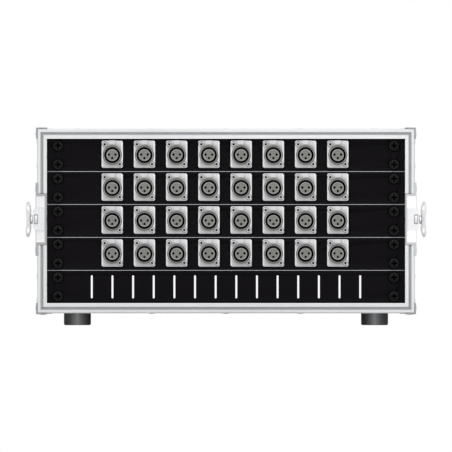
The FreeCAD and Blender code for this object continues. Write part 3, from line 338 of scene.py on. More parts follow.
rivet = turned([(0, 0.3 * MM), *RIVET_DOME, (RIVET_RADIUS, RIVET_PROUD), (SHANK, RIVET_PROUD),
                (SHANK, RIVET_LONG), (0, RIVET_LONG)], 24)
foot_screw = turned([(0, 0), *PAN_HEAD, (FOOT_SCREW_RADIUS, FOOT_SCREW_PROUD), (FOOT_SCREW_SHANK, FOOT_SCREW_PROUD),
                     (FOOT_SCREW_SHANK, FOOT_SCREW_LONG), (0, FOOT_SCREW_LONG)], 32)
rivet_places, foot_screw_places = [], []
for points in solids("case_fasteners"):
    low = Vector(min(point[i] for point in points) for i in range(3))
    high = Vector(max(point[i] for point in points) for i in range(3))
    middle, size = (low + high) / 2, high - low
    lengthwise = max(range(3), key=lambda i: size[i])
    around = [i for i in range(3) if i != lengthwise]
    # the head is the end with the points that are far from the axis
    wide = [point[lengthwise] for point in points
            if math.hypot(*(point[i] - middle[i] for i in around)) > 0.4 * size[around[0]]]
    side = 1 if sum(wide) / len(wide) > middle[lengthwise] else -1
    into = Vector([-side if i == lengthwise else 0 for i in range(3)])
    turn = Vector((0, 1, 0)).rotation_difference(into).to_matrix().to_4x4()
    at = Matrix.Translation(middle - into * size[lengthwise] / 2) @ turn
    (foot_screw_places if size[around[0]] > 2.4 * RIVET_RADIUS else rivet_places).append(at)

# bright aluminium: clean white metal, slightly marked by the tool that set it
bright, tree, shader = finish("bright_aluminium", {"Metallic": 1.0, "Base Color": linear(RIVET)})
patchy_gloss(tree, shader, TUMBLE, 0.2, 0.45, 3.0)
piece("case_rivets", repeat(rivet, rivet_places), [bright], CASE, "rivet_aluminium", "case_fasteners")
piece("foot_screws", repeat(foot_screw, foot_screw_places), [bright], CASE, "rivet_aluminium", "case_fasteners")


# ---------------------------------------------------------------- feet
# Four moulded rubber feet. Each is held by a pan head screw, which goes up through the foot's bore and
# pad into the bottom board.

def eased(line, reach, steps=3):
    """The same line with its inner corners rounded, each by at most reach along its two sides."""
    made = [line[0]]
    for before, here, after in zip(line, line[1:], line[2:]):
        before, here, after = Vector(before), Vector(here), Vector(after)
        back = (before - here) * min(reach / (before - here).length, 0.45)
        on = (after - here) * min(reach / (after - here).length, 0.45)
        for i in range(steps + 1):
            share = i / steps
            made.append(tuple(here + back * (1 - share) ** 2 + on * share ** 2))
    return made + [line[-1]]


def grainy(tree, shader, grain, strength, detail=2.0):
    """Give a finish a fine relief with grains of about one size."""
    place = add(tree, "TexCoord").outputs["Object"]
    grains = add(tree, "TexNoise", {}, {"Vector": place, "Scale": 1 / grain, "Detail": detail})
    bump = add(tree, "Bump", {}, {"Strength": strength, "Distance": 0.1 * MM, "Height": grains.outputs["Fac"]})
    tree.links.new(bump.outputs["Normal"], shader.inputs["Normal"])


RUBBER = "#3C3C3E"
RUBBER_BLOOM = "#464648"
RUBBER_HIGHLIGHT = "#ACACAE"
FOOT_RADIUS = 18.25 * MM
FOOT_TALL = 18 * MM
FOOT_EDGE = 2.5 * MM
FOOT_BORE = 7 * MM
FOOT_BORE_EASE = 0.5 * MM
FOOT_HOLE = 2.5 * MM
FOOT_PAD = 7 * MM
BLOOM_PATCH = 6 * MM
RUBBER_PIT = 0.6 * MM

line = eased([(FOOT_RADIUS, FOOT_TALL), (FOOT_RADIUS, 0), (FOOT_BORE + FOOT_BORE_EASE, 0)], FOOT_EDGE, 6)
foot = turned(line + [(FOOT_BORE, FOOT_BORE_EASE), (FOOT_BORE, FOOT_TALL - FOOT_PAD),
                      (FOOT_HOLE, FOOT_TALL - FOOT_PAD), (FOOT_HOLE, FOOT_TALL), (FOOT_RADIUS, FOOT_TALL)])
foot_low, foot_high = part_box("rubber_feet")
foot_away = foot_high.x - FOOT_RADIUS
foot_places = [Matrix.Translation((x, y, foot_low.z)) @ Matrix.Rotation(math.pi / 2, 4, "X")
               for x in (-foot_away, foot_away) for y in (foot_low.y + FOOT_RADIUS, foot_high.y - FOOT_RADIUS)]

# moulded black rubber: matt, with a grey bloom, and a painted highlight: paler in a band down the middle of each
# foot's front and back
rubber, tree, shader = finish("moulded_rubber", {"Roughness": 0.5, "Specular IOR Level": 0.1})
place = add(tree, "TexCoord").outputs["Object"]
bloom = add(tree, "TexNoise", {}, {"Vector": place, "Scale": 1 / BLOOM_PATCH, "Detail": 6.0})
plain = two_tones(tree, bloom.outputs["Fac"], 0.4, 0.75, RUBBER, RUBBER_BLOOM)
# painted highlight: the rubber is paler towards each foot's middle from side to side
sideways = add(tree, "SeparateXYZ", {}, {"Vector": place}).outputs["X"]
apart = add(tree, "Math", {"operation": "ABSOLUTE"}, {0: sideways}).outputs[0]
aside = add(tree, "Math", {"operation": "SUBTRACT"}, {0: apart, 1: foot_away}).outputs[0]
aside = add(tree, "Math", {"operation": "ABSOLUTE"}, {0: aside}).outputs[0]
near = add(tree, "MapRange", {}, {"Value": aside, "From Max": FOOT_RADIUS, "To Min": 1.0, "To Max": 0.0})
painted_highlight = add(tree, "Math", {"operation": "POWER"}, {0: near.outputs[0], 1: 1.9}).outputs[0]
colour = add(tree, "Mix", {"data_type": "RGBA"}, {"Factor": painted_highlight, "A": plain, "B": linear(RUBBER_HIGHLIGHT)})
tree.links.new(colour.outputs["Result"], shader.inputs["Base Color"])
grainy(tree, shader, RUBBER_PIT, 0.2)
piece("feet", repeat(foot, foot_places), [rubber], CASE, "foot_rubber", "rubber_feet")


# ---------------------------------------------------------------- latch dishes
# A dish let into each side keeps the latch within the case's outline: thick sheet, drawn and zinc
# plated, with walls above and below and a flange that is riveted to the board and the rim.

DISH = "#FAFAFB"
DISH_DULL = "#F2F2F4"
SHEARED = "#B0B1B3"
SHEARED_DEEP = 1.2 * MM
SHEARED_BEYOND = 256.2 * MM

# polished zinc outside, dull towards the case; its sheared edges, in front and at the side, are darker
dish_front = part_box("latch_dishes")[0].y
dished, tree, shader = finish("polished_zinc_dish", {"Metallic": 1.0})
place = add(tree, "TexCoord").outputs["Object"]
clouds = add(tree, "TexNoise", {}, {"Vector": place, "Scale": 1 / CLOUD, "Detail": 5.0, "Roughness": 0.6})
colour = add(tree, "Mix", {"data_type": "RGBA"},
             {"Factor": clouds.outputs["Fac"], "A": linear(DISH), "B": linear(DISH_DULL)})
parts = add(tree, "SeparateXYZ", {}, {"Vector": place}).outputs
in_front = add(tree, "MapRange", {}, {"Value": parts["Y"], "From Min": dish_front + SHEARED_DEEP,
                                      "From Max": dish_front + SHEARED_DEEP / 2}).outputs[0]
across = add(tree, "Math", {"operation": "ABSOLUTE"}, {0: parts["X"]}).outputs[0]
aside = add(tree, "Math", {"operation": "GREATER_THAN"}, {0: across, 1: SHEARED_BEYOND}).outputs[0]
sheared = add(tree, "Math", {"operation": "MAXIMUM"}, {0: in_front, 1: aside}).outputs[0]
edged = add(tree, "Mix", {"data_type": "RGBA"},
            {"Factor": sheared, "A": colour.outputs["Result"], "B": linear(SHEARED)})
tree.links.new(edged.outputs["Result"], shader.inputs["Base Color"])
gloss = add(tree, "MapRange", {}, {"Value": clouds.outputs["Fac"], "To Min": 0.08, "To Max": 0.2})
normal = add(tree, "NewGeometry").outputs["True Normal"]
normal = add(tree, "SeparateXYZ", {}, {"Vector": normal}).outputs["X"]
away = add(tree, "Math", {"operation": "SIGN"}, {0: parts["X"]}).outputs[0]
facing = add(tree, "Math", {"operation": "MULTIPLY"}, {0: normal, 1: away}).outputs[0]
inner = add(tree, "Math", {"operation": "LESS_THAN"}, {0: facing, 1: -0.5}).outputs[0]
rough = add(tree, "Mix", {}, {"Factor": inner, "A": gloss.outputs[0], "B": 0.55})
tree.links.new(rough.outputs[0], shader.inputs["Roughness"])
dress(dished, "latch_dishes")


# ---------------------------------------------------------------- latch housings
# The fixed body of each twist latch, die-cast zinc riveted into the dish, with a slot at the front
# that lets the hook out and a bevel all round its outer side.

CAST = "#DEDFE1"
CAST_DULL = "#D2D3D5"

# tumbled zinc casting, nickel plated: soft edges and a satin gloss
cast, tree, shader = finish("plated_zinc_casting", {"Metallic": 1.0})
marks = patchy_gloss(tree, shader, TUMBLE, 0.22, 0.4)
colour = add(tree, "Mix", {"data_type": "RGBA"}, {"Factor": marks, "A": linear(CAST), "B": linear(CAST_DULL)})
tree.links.new(colour.outputs["Result"], shader.inputs["Base Color"])
dress(cast, "latch_housings")


# ---------------------------------------------------------------- hooks
# A steel plate in each housing that the handle's pin pushes out and draws back, stamped with a
# cross slot for the pin and a bent lip, and tumbled until its edges are soft.

HOOK = "#D2D2D4"
HOOK_EASE = 0.3 * MM

# tumbled steel: bright, and polished by the keeper that it draws in
keen, tree, shader = finish("polished_steel", {"Metallic": 1.0, "Base Color": linear(HOOK)})
patchy_gloss(tree, shader, CLOUD, 0.25, 0.4)
for side in ("left", "right"):
    plate = bmesh.new()
    plate.from_mesh(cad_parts["latch_hook_" + side].data)
    bmesh.ops.remove_doubles(plate, verts=plate.verts, dist=WELD)
    bmesh.ops.dissolve_limit(plate, angle_limit=0.02, verts=plate.verts, edges=plate.edges)
    sharp = [edge for edge in plate.edges if len(edge.link_faces) == 2 and edge.calc_face_angle() > 0.5]
    bmesh.ops.bevel(plate, geom=sharp, offset=HOOK_EASE, segments=2, profile=0.5, affect="EDGES",
                    clamp_overlap=True)
    piece("hook_plate_" + side, plate, [keen], "hook_" + side, "zinc_steel", "latch_hook_" + side)


# ---------------------------------------------------------------- twist handles
# A butterfly of the same casting on each spindle, turned by its two wings. Each wing has a loop hole
# near its tip, and the body between them is waisted to clear the housing.

HANDLE = "#DCDCDE"
SPINDLE = "#E8E8EA"
HANDLE_OUT = 270.35 * MM
HANDLE_HALF = 24.35 * MM
HANDLE_WIDE = 11 * MM
WING_ROUND = 10 * MM
HANDLE_EASE = 1.4 * MM
LOOP_PLACE = 15 * MM
LOOP_TALL = 3.4 * MM
LOOP_WIDE = 1.35 * MM
LOOP_INSET = 3.5 * MM
SPINDLE_BACK = 35 * MM
SPINDLE_RADIUS = 4 * MM
# the collar, the cam disc and its pin each reach from IN to OUT, measured from the case's middle
COLLAR_RADIUS, COLLAR_IN, COLLAR_OUT = 6.4 * MM, 261 * MM, 264 * MM
CAM_RADIUS, CAM_IN, CAM_OUT = 7.5 * MM, 256.9 * MM, 258.9 * MM
PIN_RADIUS, PIN_IN, PIN_OUT = 2.2 * MM, 253 * MM, 257.2 * MM
CAM_THROW = 4.5 * MM
TURNED_EASE = 0.25 * MM
# mm from the middle to a wing's tip, and how far in the two sides lie there from the outermost
WING_OUTER = ((0, 1.0), (5, 0.7), (10, 0.15), (14, 0.0), (19, 0.1), (22, 0.6), (23.6, 1.5), (24.35, 2.4))
WING_INNER = ((0, 6.3), (5, 6.8), (9, 7.5), (12.5, 7.7), (16, 7.1), (20, 5.9), (23, 4.7), (24.35, 3.6))
STATIONS = 48


def along(line, place):
    """How high a smooth line through points is, at one place."""
    i = next(i for i in range(len(line) - 1) if place <= line[i + 1][0] + 0.001)
    slopes = []
    for j in (i, i + 1):
        before, after = line[max(j - 1, 0)], line[min(j + 1, len(line) - 1)]
        slopes.append(0 if j == 0 else (after[1] - before[1]) / (after[0] - before[0]))
    step = line[i + 1][0] - line[i][0]
    share = (place - line[i][0]) / step
    return (line[i][1] * (1 - 3 * share ** 2 + 2 * share ** 3) + line[i + 1][1] * (3 * share ** 2 - 2 * share ** 3)
            + step * slopes[0] * share * (1 - share) ** 2 - step * slopes[1] * share ** 2 * (1 - share))


def joined(*forms):
    """One form made of several."""
    made = bmesh.new()
    for form in forms:
        part = as_mesh(form)
        made.from_mesh(part)
        bpy.data.meshes.remove(part)
    return made


def moved(form, place):
    """The same form somewhere else."""
    bmesh.ops.transform(form, verts=form.verts, matrix=place)
    return form


def cut(form, *tools):
    """Take tools out of a form; the cut faces get the finish after the form's own."""
    def stand_in(one, number):
        for face in one.faces:
            face.material_index = number
        mesh = as_mesh(one)
        for _ in range(2):
            mesh.materials.append(None)
        made = bpy.data.objects.new("cutting", mesh)
        bpy.context.scene.collection.objects.link(made)
        return made

    whole = stand_in(form, 0)
    others = [stand_in(tool, 1) for tool in tools]
    for other in others:
        step = whole.modifiers.new("cut", "BOOLEAN")
        step.operation = "DIFFERENCE"
        step.solver = "EXACT"
        step.object = other
    done = bpy.data.meshes.new_from_object(whole.evaluated_get(bpy.context.evaluated_depsgraph_get()))
    made = bmesh.new()
    made.from_mesh(done)
    for one in (whole, *others):
        spare = one.data
        bpy.data.objects.remove(one)
        bpy.data.meshes.remove(spare)
    bpy.data.meshes.remove(done)
    return made


def grip():
    """The two wings of the right handle about their middle, with soft edges and loop holes."""
    made = bmesh.new()
    rings = []
    for station in range(STATIONS + 1):
        height = HANDLE_HALF * math.sin(math.pi * (station / STATIONS - 0.5))
        outer = HANDLE_OUT - along(WING_OUTER, abs(height) / MM) * MM
        inner = HANDLE_OUT - along(WING_INNER, abs(height) / MM) * MM
        over = max(0.0, abs(height) - (HANDLE_HALF - WING_ROUND))
        wide = HANDLE_WIDE - WING_ROUND + math.sqrt(max(WING_ROUND ** 2 - over ** 2, 0))
        ease = min(HANDLE_EASE, 0.49 * (outer - inner), 0.9 * wide)
        ring = []
        for quarter, (x, y) in enumerate(((outer - ease, wide - ease), (outer - ease, ease - wide),
                                          (inner + ease, ease - wide), (inner + ease, wide - ease))):
            for i in range(6):
                turn = math.radians(90 * (quarter + i / 5))
                ring.append(made.verts.new((x + ease * math.sin(turn), y + ease * math.cos(turn), height)))
        rings.append(ring)
    for one, two in zip(rings, rings[1:]):
        for i in range(len(one)):
            j = (i + 1) % len(one)
            made.faces.new((one[i], one[j], two[j], two[i]))
    made.faces.new(rings[0])
    made.faces.new(rings[-1])
    bmesh.ops.recalc_face_normals(made, faces=made.faces)
    loops = []
    for side in (-1, 1):
        loop = turned([(0, -2 * HANDLE_WIDE), (1, -2 * HANDLE_WIDE), (1, 2 * HANDLE_WIDE), (0, 2 * HANDLE_WIDE)], 32)
        middle = Matrix.Translation((HANDLE_OUT - LOOP_INSET, 0, side * LOOP_PLACE))
        loops.append(moved(loop, middle @ Matrix.Diagonal((LOOP_WIDE, 1, LOOP_TALL, 1))))
    made = cut(made, *loops)
    for face in made.faces:
        face.material_index = 0
    return made


def handle():
    """A whole right handle: grip, collar, spindle, and the cam disc with its eccentric pin."""
    outward = Matrix.Rotation(-math.pi / 2, 4, "Z")
    spindle = turned(eased([(0, CAM_IN), (CAM_RADIUS, CAM_IN), (CAM_RADIUS, CAM_OUT), (SPINDLE_RADIUS, CAM_OUT),
                            (SPINDLE_RADIUS, COLLAR_IN), (COLLAR_RADIUS, COLLAR_IN), (COLLAR_RADIUS, COLLAR_OUT),
                            (0, COLLAR_OUT)], TURNED_EASE), 40)
    pin = turned([(0, PIN_IN), (PIN_RADIUS, PIN_IN), (PIN_RADIUS, PIN_OUT), (0, PIN_OUT)], 32)
    turnings = joined(moved(spindle, outward), moved(pin, Matrix.Translation((0, CAM_THROW, 0)) @ outward))
    for face in turnings.faces:
        face.material_index = 1
    return joined(grip(), turnings)


handle_finishes = []
for name, code, metal, sheen in (("worn_plating", HANDLE, 0.5, 0.5), ("polished_spindle", SPINDLE, 1.0, 0.06)):
    # hands wear the casting's plating dull and pale; the turned spindle under it keeps its polish
    plating, tree, shader = finish(name, {"Metallic": metal, "Base Color": linear(code)})
    patchy_gloss(tree, shader, TUMBLE, sheen, sheen + 0.16)
    handle_finishes.append(plating)
for side, mirrored in (("right", 1), ("left", -1)):
    low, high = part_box("latch_handle_" + side)
    middle = Matrix.Translation((0, SPINDLE_BACK - half_depth, (low.z + high.z) / 2))
    form = moved(handle(), middle @ Matrix.Diagonal((mirrored, 1, 1, 1)))
    bmesh.ops.recalc_face_normals(form, faces=form.faces)
    piece("twist_handle_" + side, form, handle_finishes, "latch_" + side, "latch_zinc", "latch_handle_" + side)


# ---------------------------------------------------------------- panels
# Four connector panels and a vent panel: 2.5 mm steel sheet, punched, powder coated black, and
# screwed to the rails at both ends.

POWDER = "#0F0D10"
POWDER_GAP_LIGHT = "#A6A5A9"
PEEL = 1.1 * MM
UNIT = 44.45 * MM
COAT = 0.22 * MM
GAP_LIGHT_REACH = 0.33 * MM
PANELS = ("patch_panel_1", "patch_panel_2", "patch_panel_3", "patch_panel_4", "vent_panel")

# satin black powder coat: deep black whose fine orange peel breaks up what it reflects, with painted light:
# a pale grey band along the edges that lie against each other in the rack, for the light seen through the gaps
between = (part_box("vent_panel")[1].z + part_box("patch_panel_4")[0].z) / 2
coated, tree, shader = finish("black_powder_coat", {"Roughness": 0.5, "Specular IOR Level": 0.03})
place = add(tree, "TexCoord").outputs["Object"]
height = add(tree, "SeparateXYZ", {}, {"Vector": place}).outputs["Z"]
above = add(tree, "Math", {"operation": "SUBTRACT"}, {0: height, 1: between}).outputs[0]
apart = add(tree, "Math", {"operation": "PINGPONG"}, {0: above, 1: UNIT / 2}).outputs[0]
# painted light: a pale band along each joint between panels
gap_light = add(tree, "Math", {"operation": "LESS_THAN"}, {0: apart, 1: GAP_LIGHT_REACH}).outputs[0]
colour = add(tree, "Mix", {"data_type": "RGBA"},
             {"Factor": gap_light, "A": linear(POWDER), "B": linear(POWDER_GAP_LIGHT)})
tree.links.new(colour.outputs["Result"], shader.inputs["Base Color"])
grainy(tree, shader, PEEL, 0.25)
for panel in PANELS:
    # the coat builds up on the cut edges of the sheet and makes slots and gaps a little narrower
    sheet = bmesh.new()
    sheet.from_mesh(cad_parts[panel].data)
    bmesh.ops.remove_doubles(sheet, verts=sheet.verts, dist=WELD)
    sheet.normal_update()
    for spot in sheet.verts:
        walls = {tuple(round(v, 2) for v in face.normal) for face in spot.link_faces if abs(face.normal.y) < 0.1}
        if walls:
            outward = sum((Vector(wall) for wall in walls), Vector()) / len(walls)
            spot.co += COAT * outward / outward.length_squared
    piece("coated_" + panel, sheet, [coated], CASE, "panel_black", panel)


# ---------------------------------------------------------------- connector shells
# Thirty-two sockets' bodies, die-cast zinc, tumbled and nickel plated: a flange against the front of
# the panel and a barrel through its round hole. A turned collar stands round the bore.

TABS = [f"release_tab_r{row}_c{column}" for row in range(1, 5) for column in range(1, 9)]
TAB_TOP = 19.85 * MM
FLANGE_WIDE = 29 * MM
FLANGE_TALL = 37.3 * MM
FLANGE_THICK = 3.5 * MM
FLANGE_RISE = 1.2 * MM
FLANGE_ROUND = 2.8 * MM
FLANGE_EASE = 0.7 * MM
COLLAR_PROUD = 0.6 * MM
COLLAR_EDGE = 12.1 * MM
MOAT_EDGE = 12.9 * MM
MOAT_DEEP = 0.8 * MM
BORE = 9.65 * MM
BORE_BEVEL = 1.3 * MM
BARREL = 11.7 * MM
BARREL_LONG = 20 * MM
SCREW_ACROSS = 20.4 * MM
SCREW_UPRIGHT = 26.8 * MM
BOSS = 3.4 * MM
BOSS_PROUD = 0.4 * MM
BOSS_EASE = 0.15 * MM
SCREW_HEAD = 2.6 * MM
HEAD_HOLE = SCREW_HEAD + 0.05 * MM
SHANK_HOLE = 1.6 * MM
NOTCH_LEFT = 4.6 * MM
NOTCH_RIGHT = 5.0 * MM
NOTCH_LOW = 14.7 * MM
CORNER_STEPS = 6
SIDE_STEPS = 20


def flange_edge(inset):
    """Points round the flange's outline, drawn in by inset, clockwise from its top right corner."""
    radius = FLANGE_ROUND - inset
    wide, tall = FLANGE_WIDE / 2 - FLANGE_ROUND, FLANGE_TALL / 2 - FLANGE_ROUND
    corners = []
    for quarter, (right, up) in enumerate(((1, 1), (1, -1), (-1, -1), (-1, 1))):
        turns = [math.radians(90 * (quarter + i / CORNER_STEPS)) for i in range(CORNER_STEPS + 1)]
        middle = Vector((right * wide, up * tall + FLANGE_RISE))
        corners.append([middle + radius * Vector((math.sin(a), math.cos(a))) for a in turns])
    points = []
    for corner, following in zip(corners, corners[1:] + corners[:1]):
        points += corner
        points += [corner[-1].lerp(following[0], i / SIDE_STEPS) for i in range(1, SIDE_STEPS)]
    return points


def shell_form():
    """One flange with its collar and barrel; the flange's front lies in y = 0, on the bore's axis."""
    def ring(radius, depth):
        return [(spot.normalized() * radius, depth) for spot in flange_edge(0)]

    def edge(inset, depth):
        return [(spot, depth) for spot in flange_edge(inset)]

    back = FLANGE_THICK + BARREL_LONG
    small = 0.15 * MM
    loops = [
        ring(BORE, back), ring(BORE, BORE_BEVEL - COLLAR_PROUD), ring(BORE + BORE_BEVEL, -COLLAR_PROUD),
        ring(COLLAR_EDGE - small, -COLLAR_PROUD), ring(COLLAR_EDGE, small - COLLAR_PROUD),
        ring(COLLAR_EDGE, MOAT_DEEP), ring(MOAT_EDGE, MOAT_DEEP), ring(MOAT_EDGE, small),
        ring(MOAT_EDGE + small, 0)]
    for i in range(4):
        turn = math.radians(90 * i / 3)
        loops.append(edge(FLANGE_EASE * (1 - math.sin(turn)), FLANGE_EASE * (1 - math.cos(turn))))
    loops += [edge(0, FLANGE_THICK), ring(BARREL, FLANGE_THICK), ring(BARREL, back - small),
              ring(BARREL - small, back)]
    made = bmesh.new()
    rings = [[made.verts.new((spot.x, depth, spot.y)) for spot, depth in loop] for loop in loops]
    for one, two in zip(rings, rings[1:] + rings[:1]):
        for i in range(len(one)):
            j = (i + 1) % len(one)
            made.faces.new((one[i], one[j], two[j], two[i]))
    bmesh.ops.recalc_face_normals(made, faces=made.faces)
    return made


def block(low, high):
    """A plain block between two corners, to cut with."""
    made = bmesh.new()
    bmesh.ops.create_cube(made, size=1.0)
    low, high = Vector(low), Vector(high)
    bmesh.ops.transform(made, verts=made.verts,
                        matrix=Matrix.Translation((low + high) / 2) @ Matrix.Diagonal((*(high - low), 1)))
    return made


def remember_place(form):
    """Keep each point's place in its own form, for a finish that follows the form."""
    kept = form.verts.layers.float_vector.new("own_place")
    for spot in form.verts:
        spot[kept] = spot.co
    return form


def in_own_place(tree):
    """Where a point is in its own form, flat on the front of it, and how far from the bore's axis."""
    own = add(tree, "Attribute", {"attribute_name": "own_place"}).outputs["Vector"]
    parts = add(tree, "SeparateXYZ", {}, {"Vector": own}).outputs
    flat = add(tree, "CombineXYZ", {}, {"X": parts["X"], "Y": parts["Z"]}).outputs[0]
    radius = add(tree, "VectorMath", {"operation": "LENGTH"}, {0: flat}).outputs["Value"]
    return parts, flat, radius


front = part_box("connector_shells")[0].y + COLLAR_PROUD
SOCKETS = []
for tab in TABS:
    low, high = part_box(tab)
    SOCKETS.append(Matrix.Translation(((low.x + high.x) / 2, front, high.z - TAB_TOP)))

notch = block((-NOTCH_LEFT, -FLANGE_THICK, NOTCH_LOW), (NOTCH_RIGHT, FLANGE_THICK * 0.98, FLANGE_TALL))
SCREW_SPOTS = [Matrix.Translation((right * SCREW_ACROSS / 2, 0, FLANGE_RISE + up * SCREW_UPRIGHT / 2))
               for right, up in ((-1, 1), (1, -1))]
screw_holes, bosses = [], []
for spot in SCREW_SPOTS:
    hole = turned([(0, -2 * MM), (HEAD_HOLE, -2 * MM), (HEAD_HOLE, 0.1 * MM), (SHANK_HOLE, 1.1 * MM),
                   (SHANK_HOLE, 6 * MM), (0, 6 * MM)], 32)
    screw_holes.append(moved(hole, spot))
    boss = turned([(HEAD_HOLE, 0.1 * MM), (HEAD_HOLE, -BOSS_PROUD), (BOSS - BOSS_EASE, -BOSS_PROUD),
                   (BOSS, BOSS_EASE - BOSS_PROUD), (BOSS, 0.1 * MM), (HEAD_HOLE, 0.1 * MM)], 32)
    bosses.append(moved(boss, spot))
shell = cut(shell_form(), notch, *screw_holes)
for face in shell.faces:
    face.material_index = 0
shell = joined(shell, *bosses)

NICKEL = "#B9B9BB"
NICKEL_HIGHLIGHT = "#D8D8DA"
NICKEL_COLLAR_SHADE = "#92938F"
NICKEL_SHADE = "#5A5A58"
BORE_SHADE = "#0B0B0A"
HALO = 5.5 * MM
SATIN = 1.6 * MM
# how far in from the flange's sides the painted highlight starts, and where it is full
HIGHLIGHT_FROM = 3.2 * MM
HIGHLIGHT_TO = 0.8 * MM

# satin nickel: warm white metal, with a painted highlight along the flange's left and right edges and painted shade
# on the turned collar
nickel, tree, shader = finish("satin_nickel", {"Specular IOR Level": 0.0})
patchy_gloss(tree, shader, SATIN, 0.3, 0.45, 3.0)
grainy(tree, shader, SATIN, 0.1, 3.0)
parts, flat, radius = in_own_place(tree)
across = add(tree, "Math", {"operation": "ABSOLUTE"}, {0: parts["X"]}).outputs[0]
plain = two_tones(tree, across, FLANGE_WIDE / 2 - HIGHLIGHT_FROM, FLANGE_WIDE / 2 - HIGHLIGHT_TO,
                  NICKEL, NICKEL_HIGHLIGHT, "SMOOTHSTEP")
# painted shade: the collar is given a darker tone than the flange
on_collar = add(tree, "Math", {"operation": "LESS_THAN"}, {0: radius, 1: MOAT_EDGE + 0.05 * MM}).outputs[0]
collared = add(tree, "Mix", {"data_type": "RGBA"},
               {"Factor": on_collar, "A": plain, "B": linear(NICKEL_COLLAR_SHADE)})
# painted shade in the moat round the collar, in a ring about each boss, and in a halo above and below the collar
in_moat = add(tree, "Math", {"operation": "COMPARE"},
              {0: radius, 1: (COLLAR_EDGE + MOAT_EDGE) / 2, 2: (MOAT_EDGE - COLLAR_EDGE) / 2}).outputs[0]
sunk = add(tree, "Math", {"operation": "GREATER_THAN"}, {0: parts["Y"], 1: 0.1 * MM}).outputs[0]
in_moat = add(tree, "Math", {"operation": "MULTIPLY"}, {0: in_moat, 1: sunk}).outputs[0]
level = add(tree, "Math", {"operation": "ABSOLUTE"}, {0: parts["Z"]}).outputs[0]
halo = add(tree, "MapRange", {"interpolation_type": "SMOOTHSTEP"},
           {"Value": radius, "From Min": MOAT_EDGE, "From Max": MOAT_EDGE + HALO, "To Min": 0.55, "To Max": 0.0})
upright = add(tree, "MapRange", {}, {"Value": level, "From Min": 4 * MM, "From Max": 12 * MM})
halo = add(tree, "Math", {"operation": "MULTIPLY"}, {0: halo.outputs[0], 1: upright.outputs[0]})
painted_shade = add(tree, "Math", {"operation": "MAXIMUM"}, {0: in_moat, 1: halo.outputs[0]})
for spot in SCREW_SPOTS:
    off = add(tree, "VectorMath", {"operation": "DISTANCE"},
              {0: flat, 1: (spot.translation.x, spot.translation.z, 0)}).outputs["Value"]
    about = add(tree, "Math", {"operation": "COMPARE"}, {0: off, 1: BOSS + 0.4 * MM, 2: 0.4 * MM})
    some = add(tree, "Math", {"operation": "MULTIPLY"}, {0: about.outputs[0], 1: 0.8})
    painted_shade = add(tree, "Math", {"operation": "MAXIMUM"}, {0: painted_shade.outputs[0], 1: some.outputs[0]})
collared = add(tree, "Mix", {"data_type": "RGBA"},
               {"Factor": painted_shade.outputs[0], "A": collared.outputs["Result"], "B": linear(NICKEL_SHADE)})
# painted shade: the bore and its bevel, ahead of the flange's back, are painted near black and not metal, for the
# shade in the gap round the core
in_bore = add(tree, "Math", {"operation": "LESS_THAN"},
              {0: radius, 1: BORE + BORE_BEVEL + 0.02 * MM}).outputs[0]
in_front = add(tree, "Math", {"operation": "LESS_THAN"}, {0: parts["Y"], 1: FLANGE_THICK}).outputs[0]
bore_shade = add(tree, "Math", {"operation": "MULTIPLY"}, {0: in_bore, 1: in_front}).outputs[0]
colour = add(tree, "Mix", {"data_type": "RGBA"},
             {"Factor": bore_shade, "A": collared.outputs["Result"], "B": linear(BORE_SHADE)})
tree.links.new(colour.outputs["Result"], shader.inputs["Base Color"])
metal = add(tree, "Math", {"operation": "SUBTRACT"}, {0: 1.0, 1: bore_shade}).outputs[0]
tree.links.new(metal, shader.inputs["Metallic"])
piece("socket_shells", repeat(remember_place(shell), SOCKETS), [nickel], CASE, "nickel", "connector_shells")


# ---------------------------------------------------------------- connector inserts
# The core of each socket, moulded in glass-filled nylon: a pin's hole for each contact in a face
# that a raised ring surrounds. The plug's sleeve goes over the core.

CORE = 8.0 * MM
CORE_FRONT = 1.0 * MM
CORE_FACE = 1.6 * MM
CORE_DISC = 6.3 * MM
CORE_STEP = 15.5 * MM
CORE_BACK = 23.5 * MM
PIN_HOLE = 1.65 * MM
CONTACT_SIDE = 4.45 * MM
CONTACT_UPPER = 0.7 * MM
CONTACT_LOWER = 4.1 * MM
INSERT = "#7B7B78"
INSERT_HIGHLIGHT = "#92928F"
INSERT_SHADE = "#080808"
CORE_FOOT = BORE + 0.02 * MM
FLOW_MARK = 0.8 * MM

core = turned(eased([(0, CORE_FACE), (CORE_DISC, CORE_FACE), (CORE_DISC + 0.6 * MM, CORE_FRONT),
                     (CORE, CORE_FRONT), (CORE, CORE_STEP), (CORE_FOOT, CORE_STEP), (CORE_FOOT, CORE_BACK),
                     (0, CORE_BACK)], TURNED_EASE))
pin_holes = []
for right, up in ((-CONTACT_SIDE, CONTACT_UPPER), (CONTACT_SIDE, CONTACT_UPPER), (0, -CONTACT_LOWER)):
    hole = turned([(0, -CORE_FACE), (PIN_HOLE, -CORE_FACE), (PIN_HOLE, CORE_STEP), (0, CORE_STEP)], 24)
    pin_holes.append(moved(hole, Matrix.Translation((right, 0, up))))
core = cut(core, *pin_holes)

# glass-filled nylon: dull grey, with a painted highlight on the raised ring, and faint flow marks
nylon, tree, shader = finish("glass_filled_nylon", {"Roughness": 0.5, "Specular IOR Level": 0.2})
grainy(tree, shader, FLOW_MARK, 0.15, 3.0)
parts, flat, radius = in_own_place(tree)
colour = two_tones(tree, radius, CORE_DISC, CORE_DISC + 0.4 * MM, INSERT, INSERT_HIGHLIGHT, "SMOOTHSTEP")
tree.links.new(colour, shader.inputs["Base Color"])

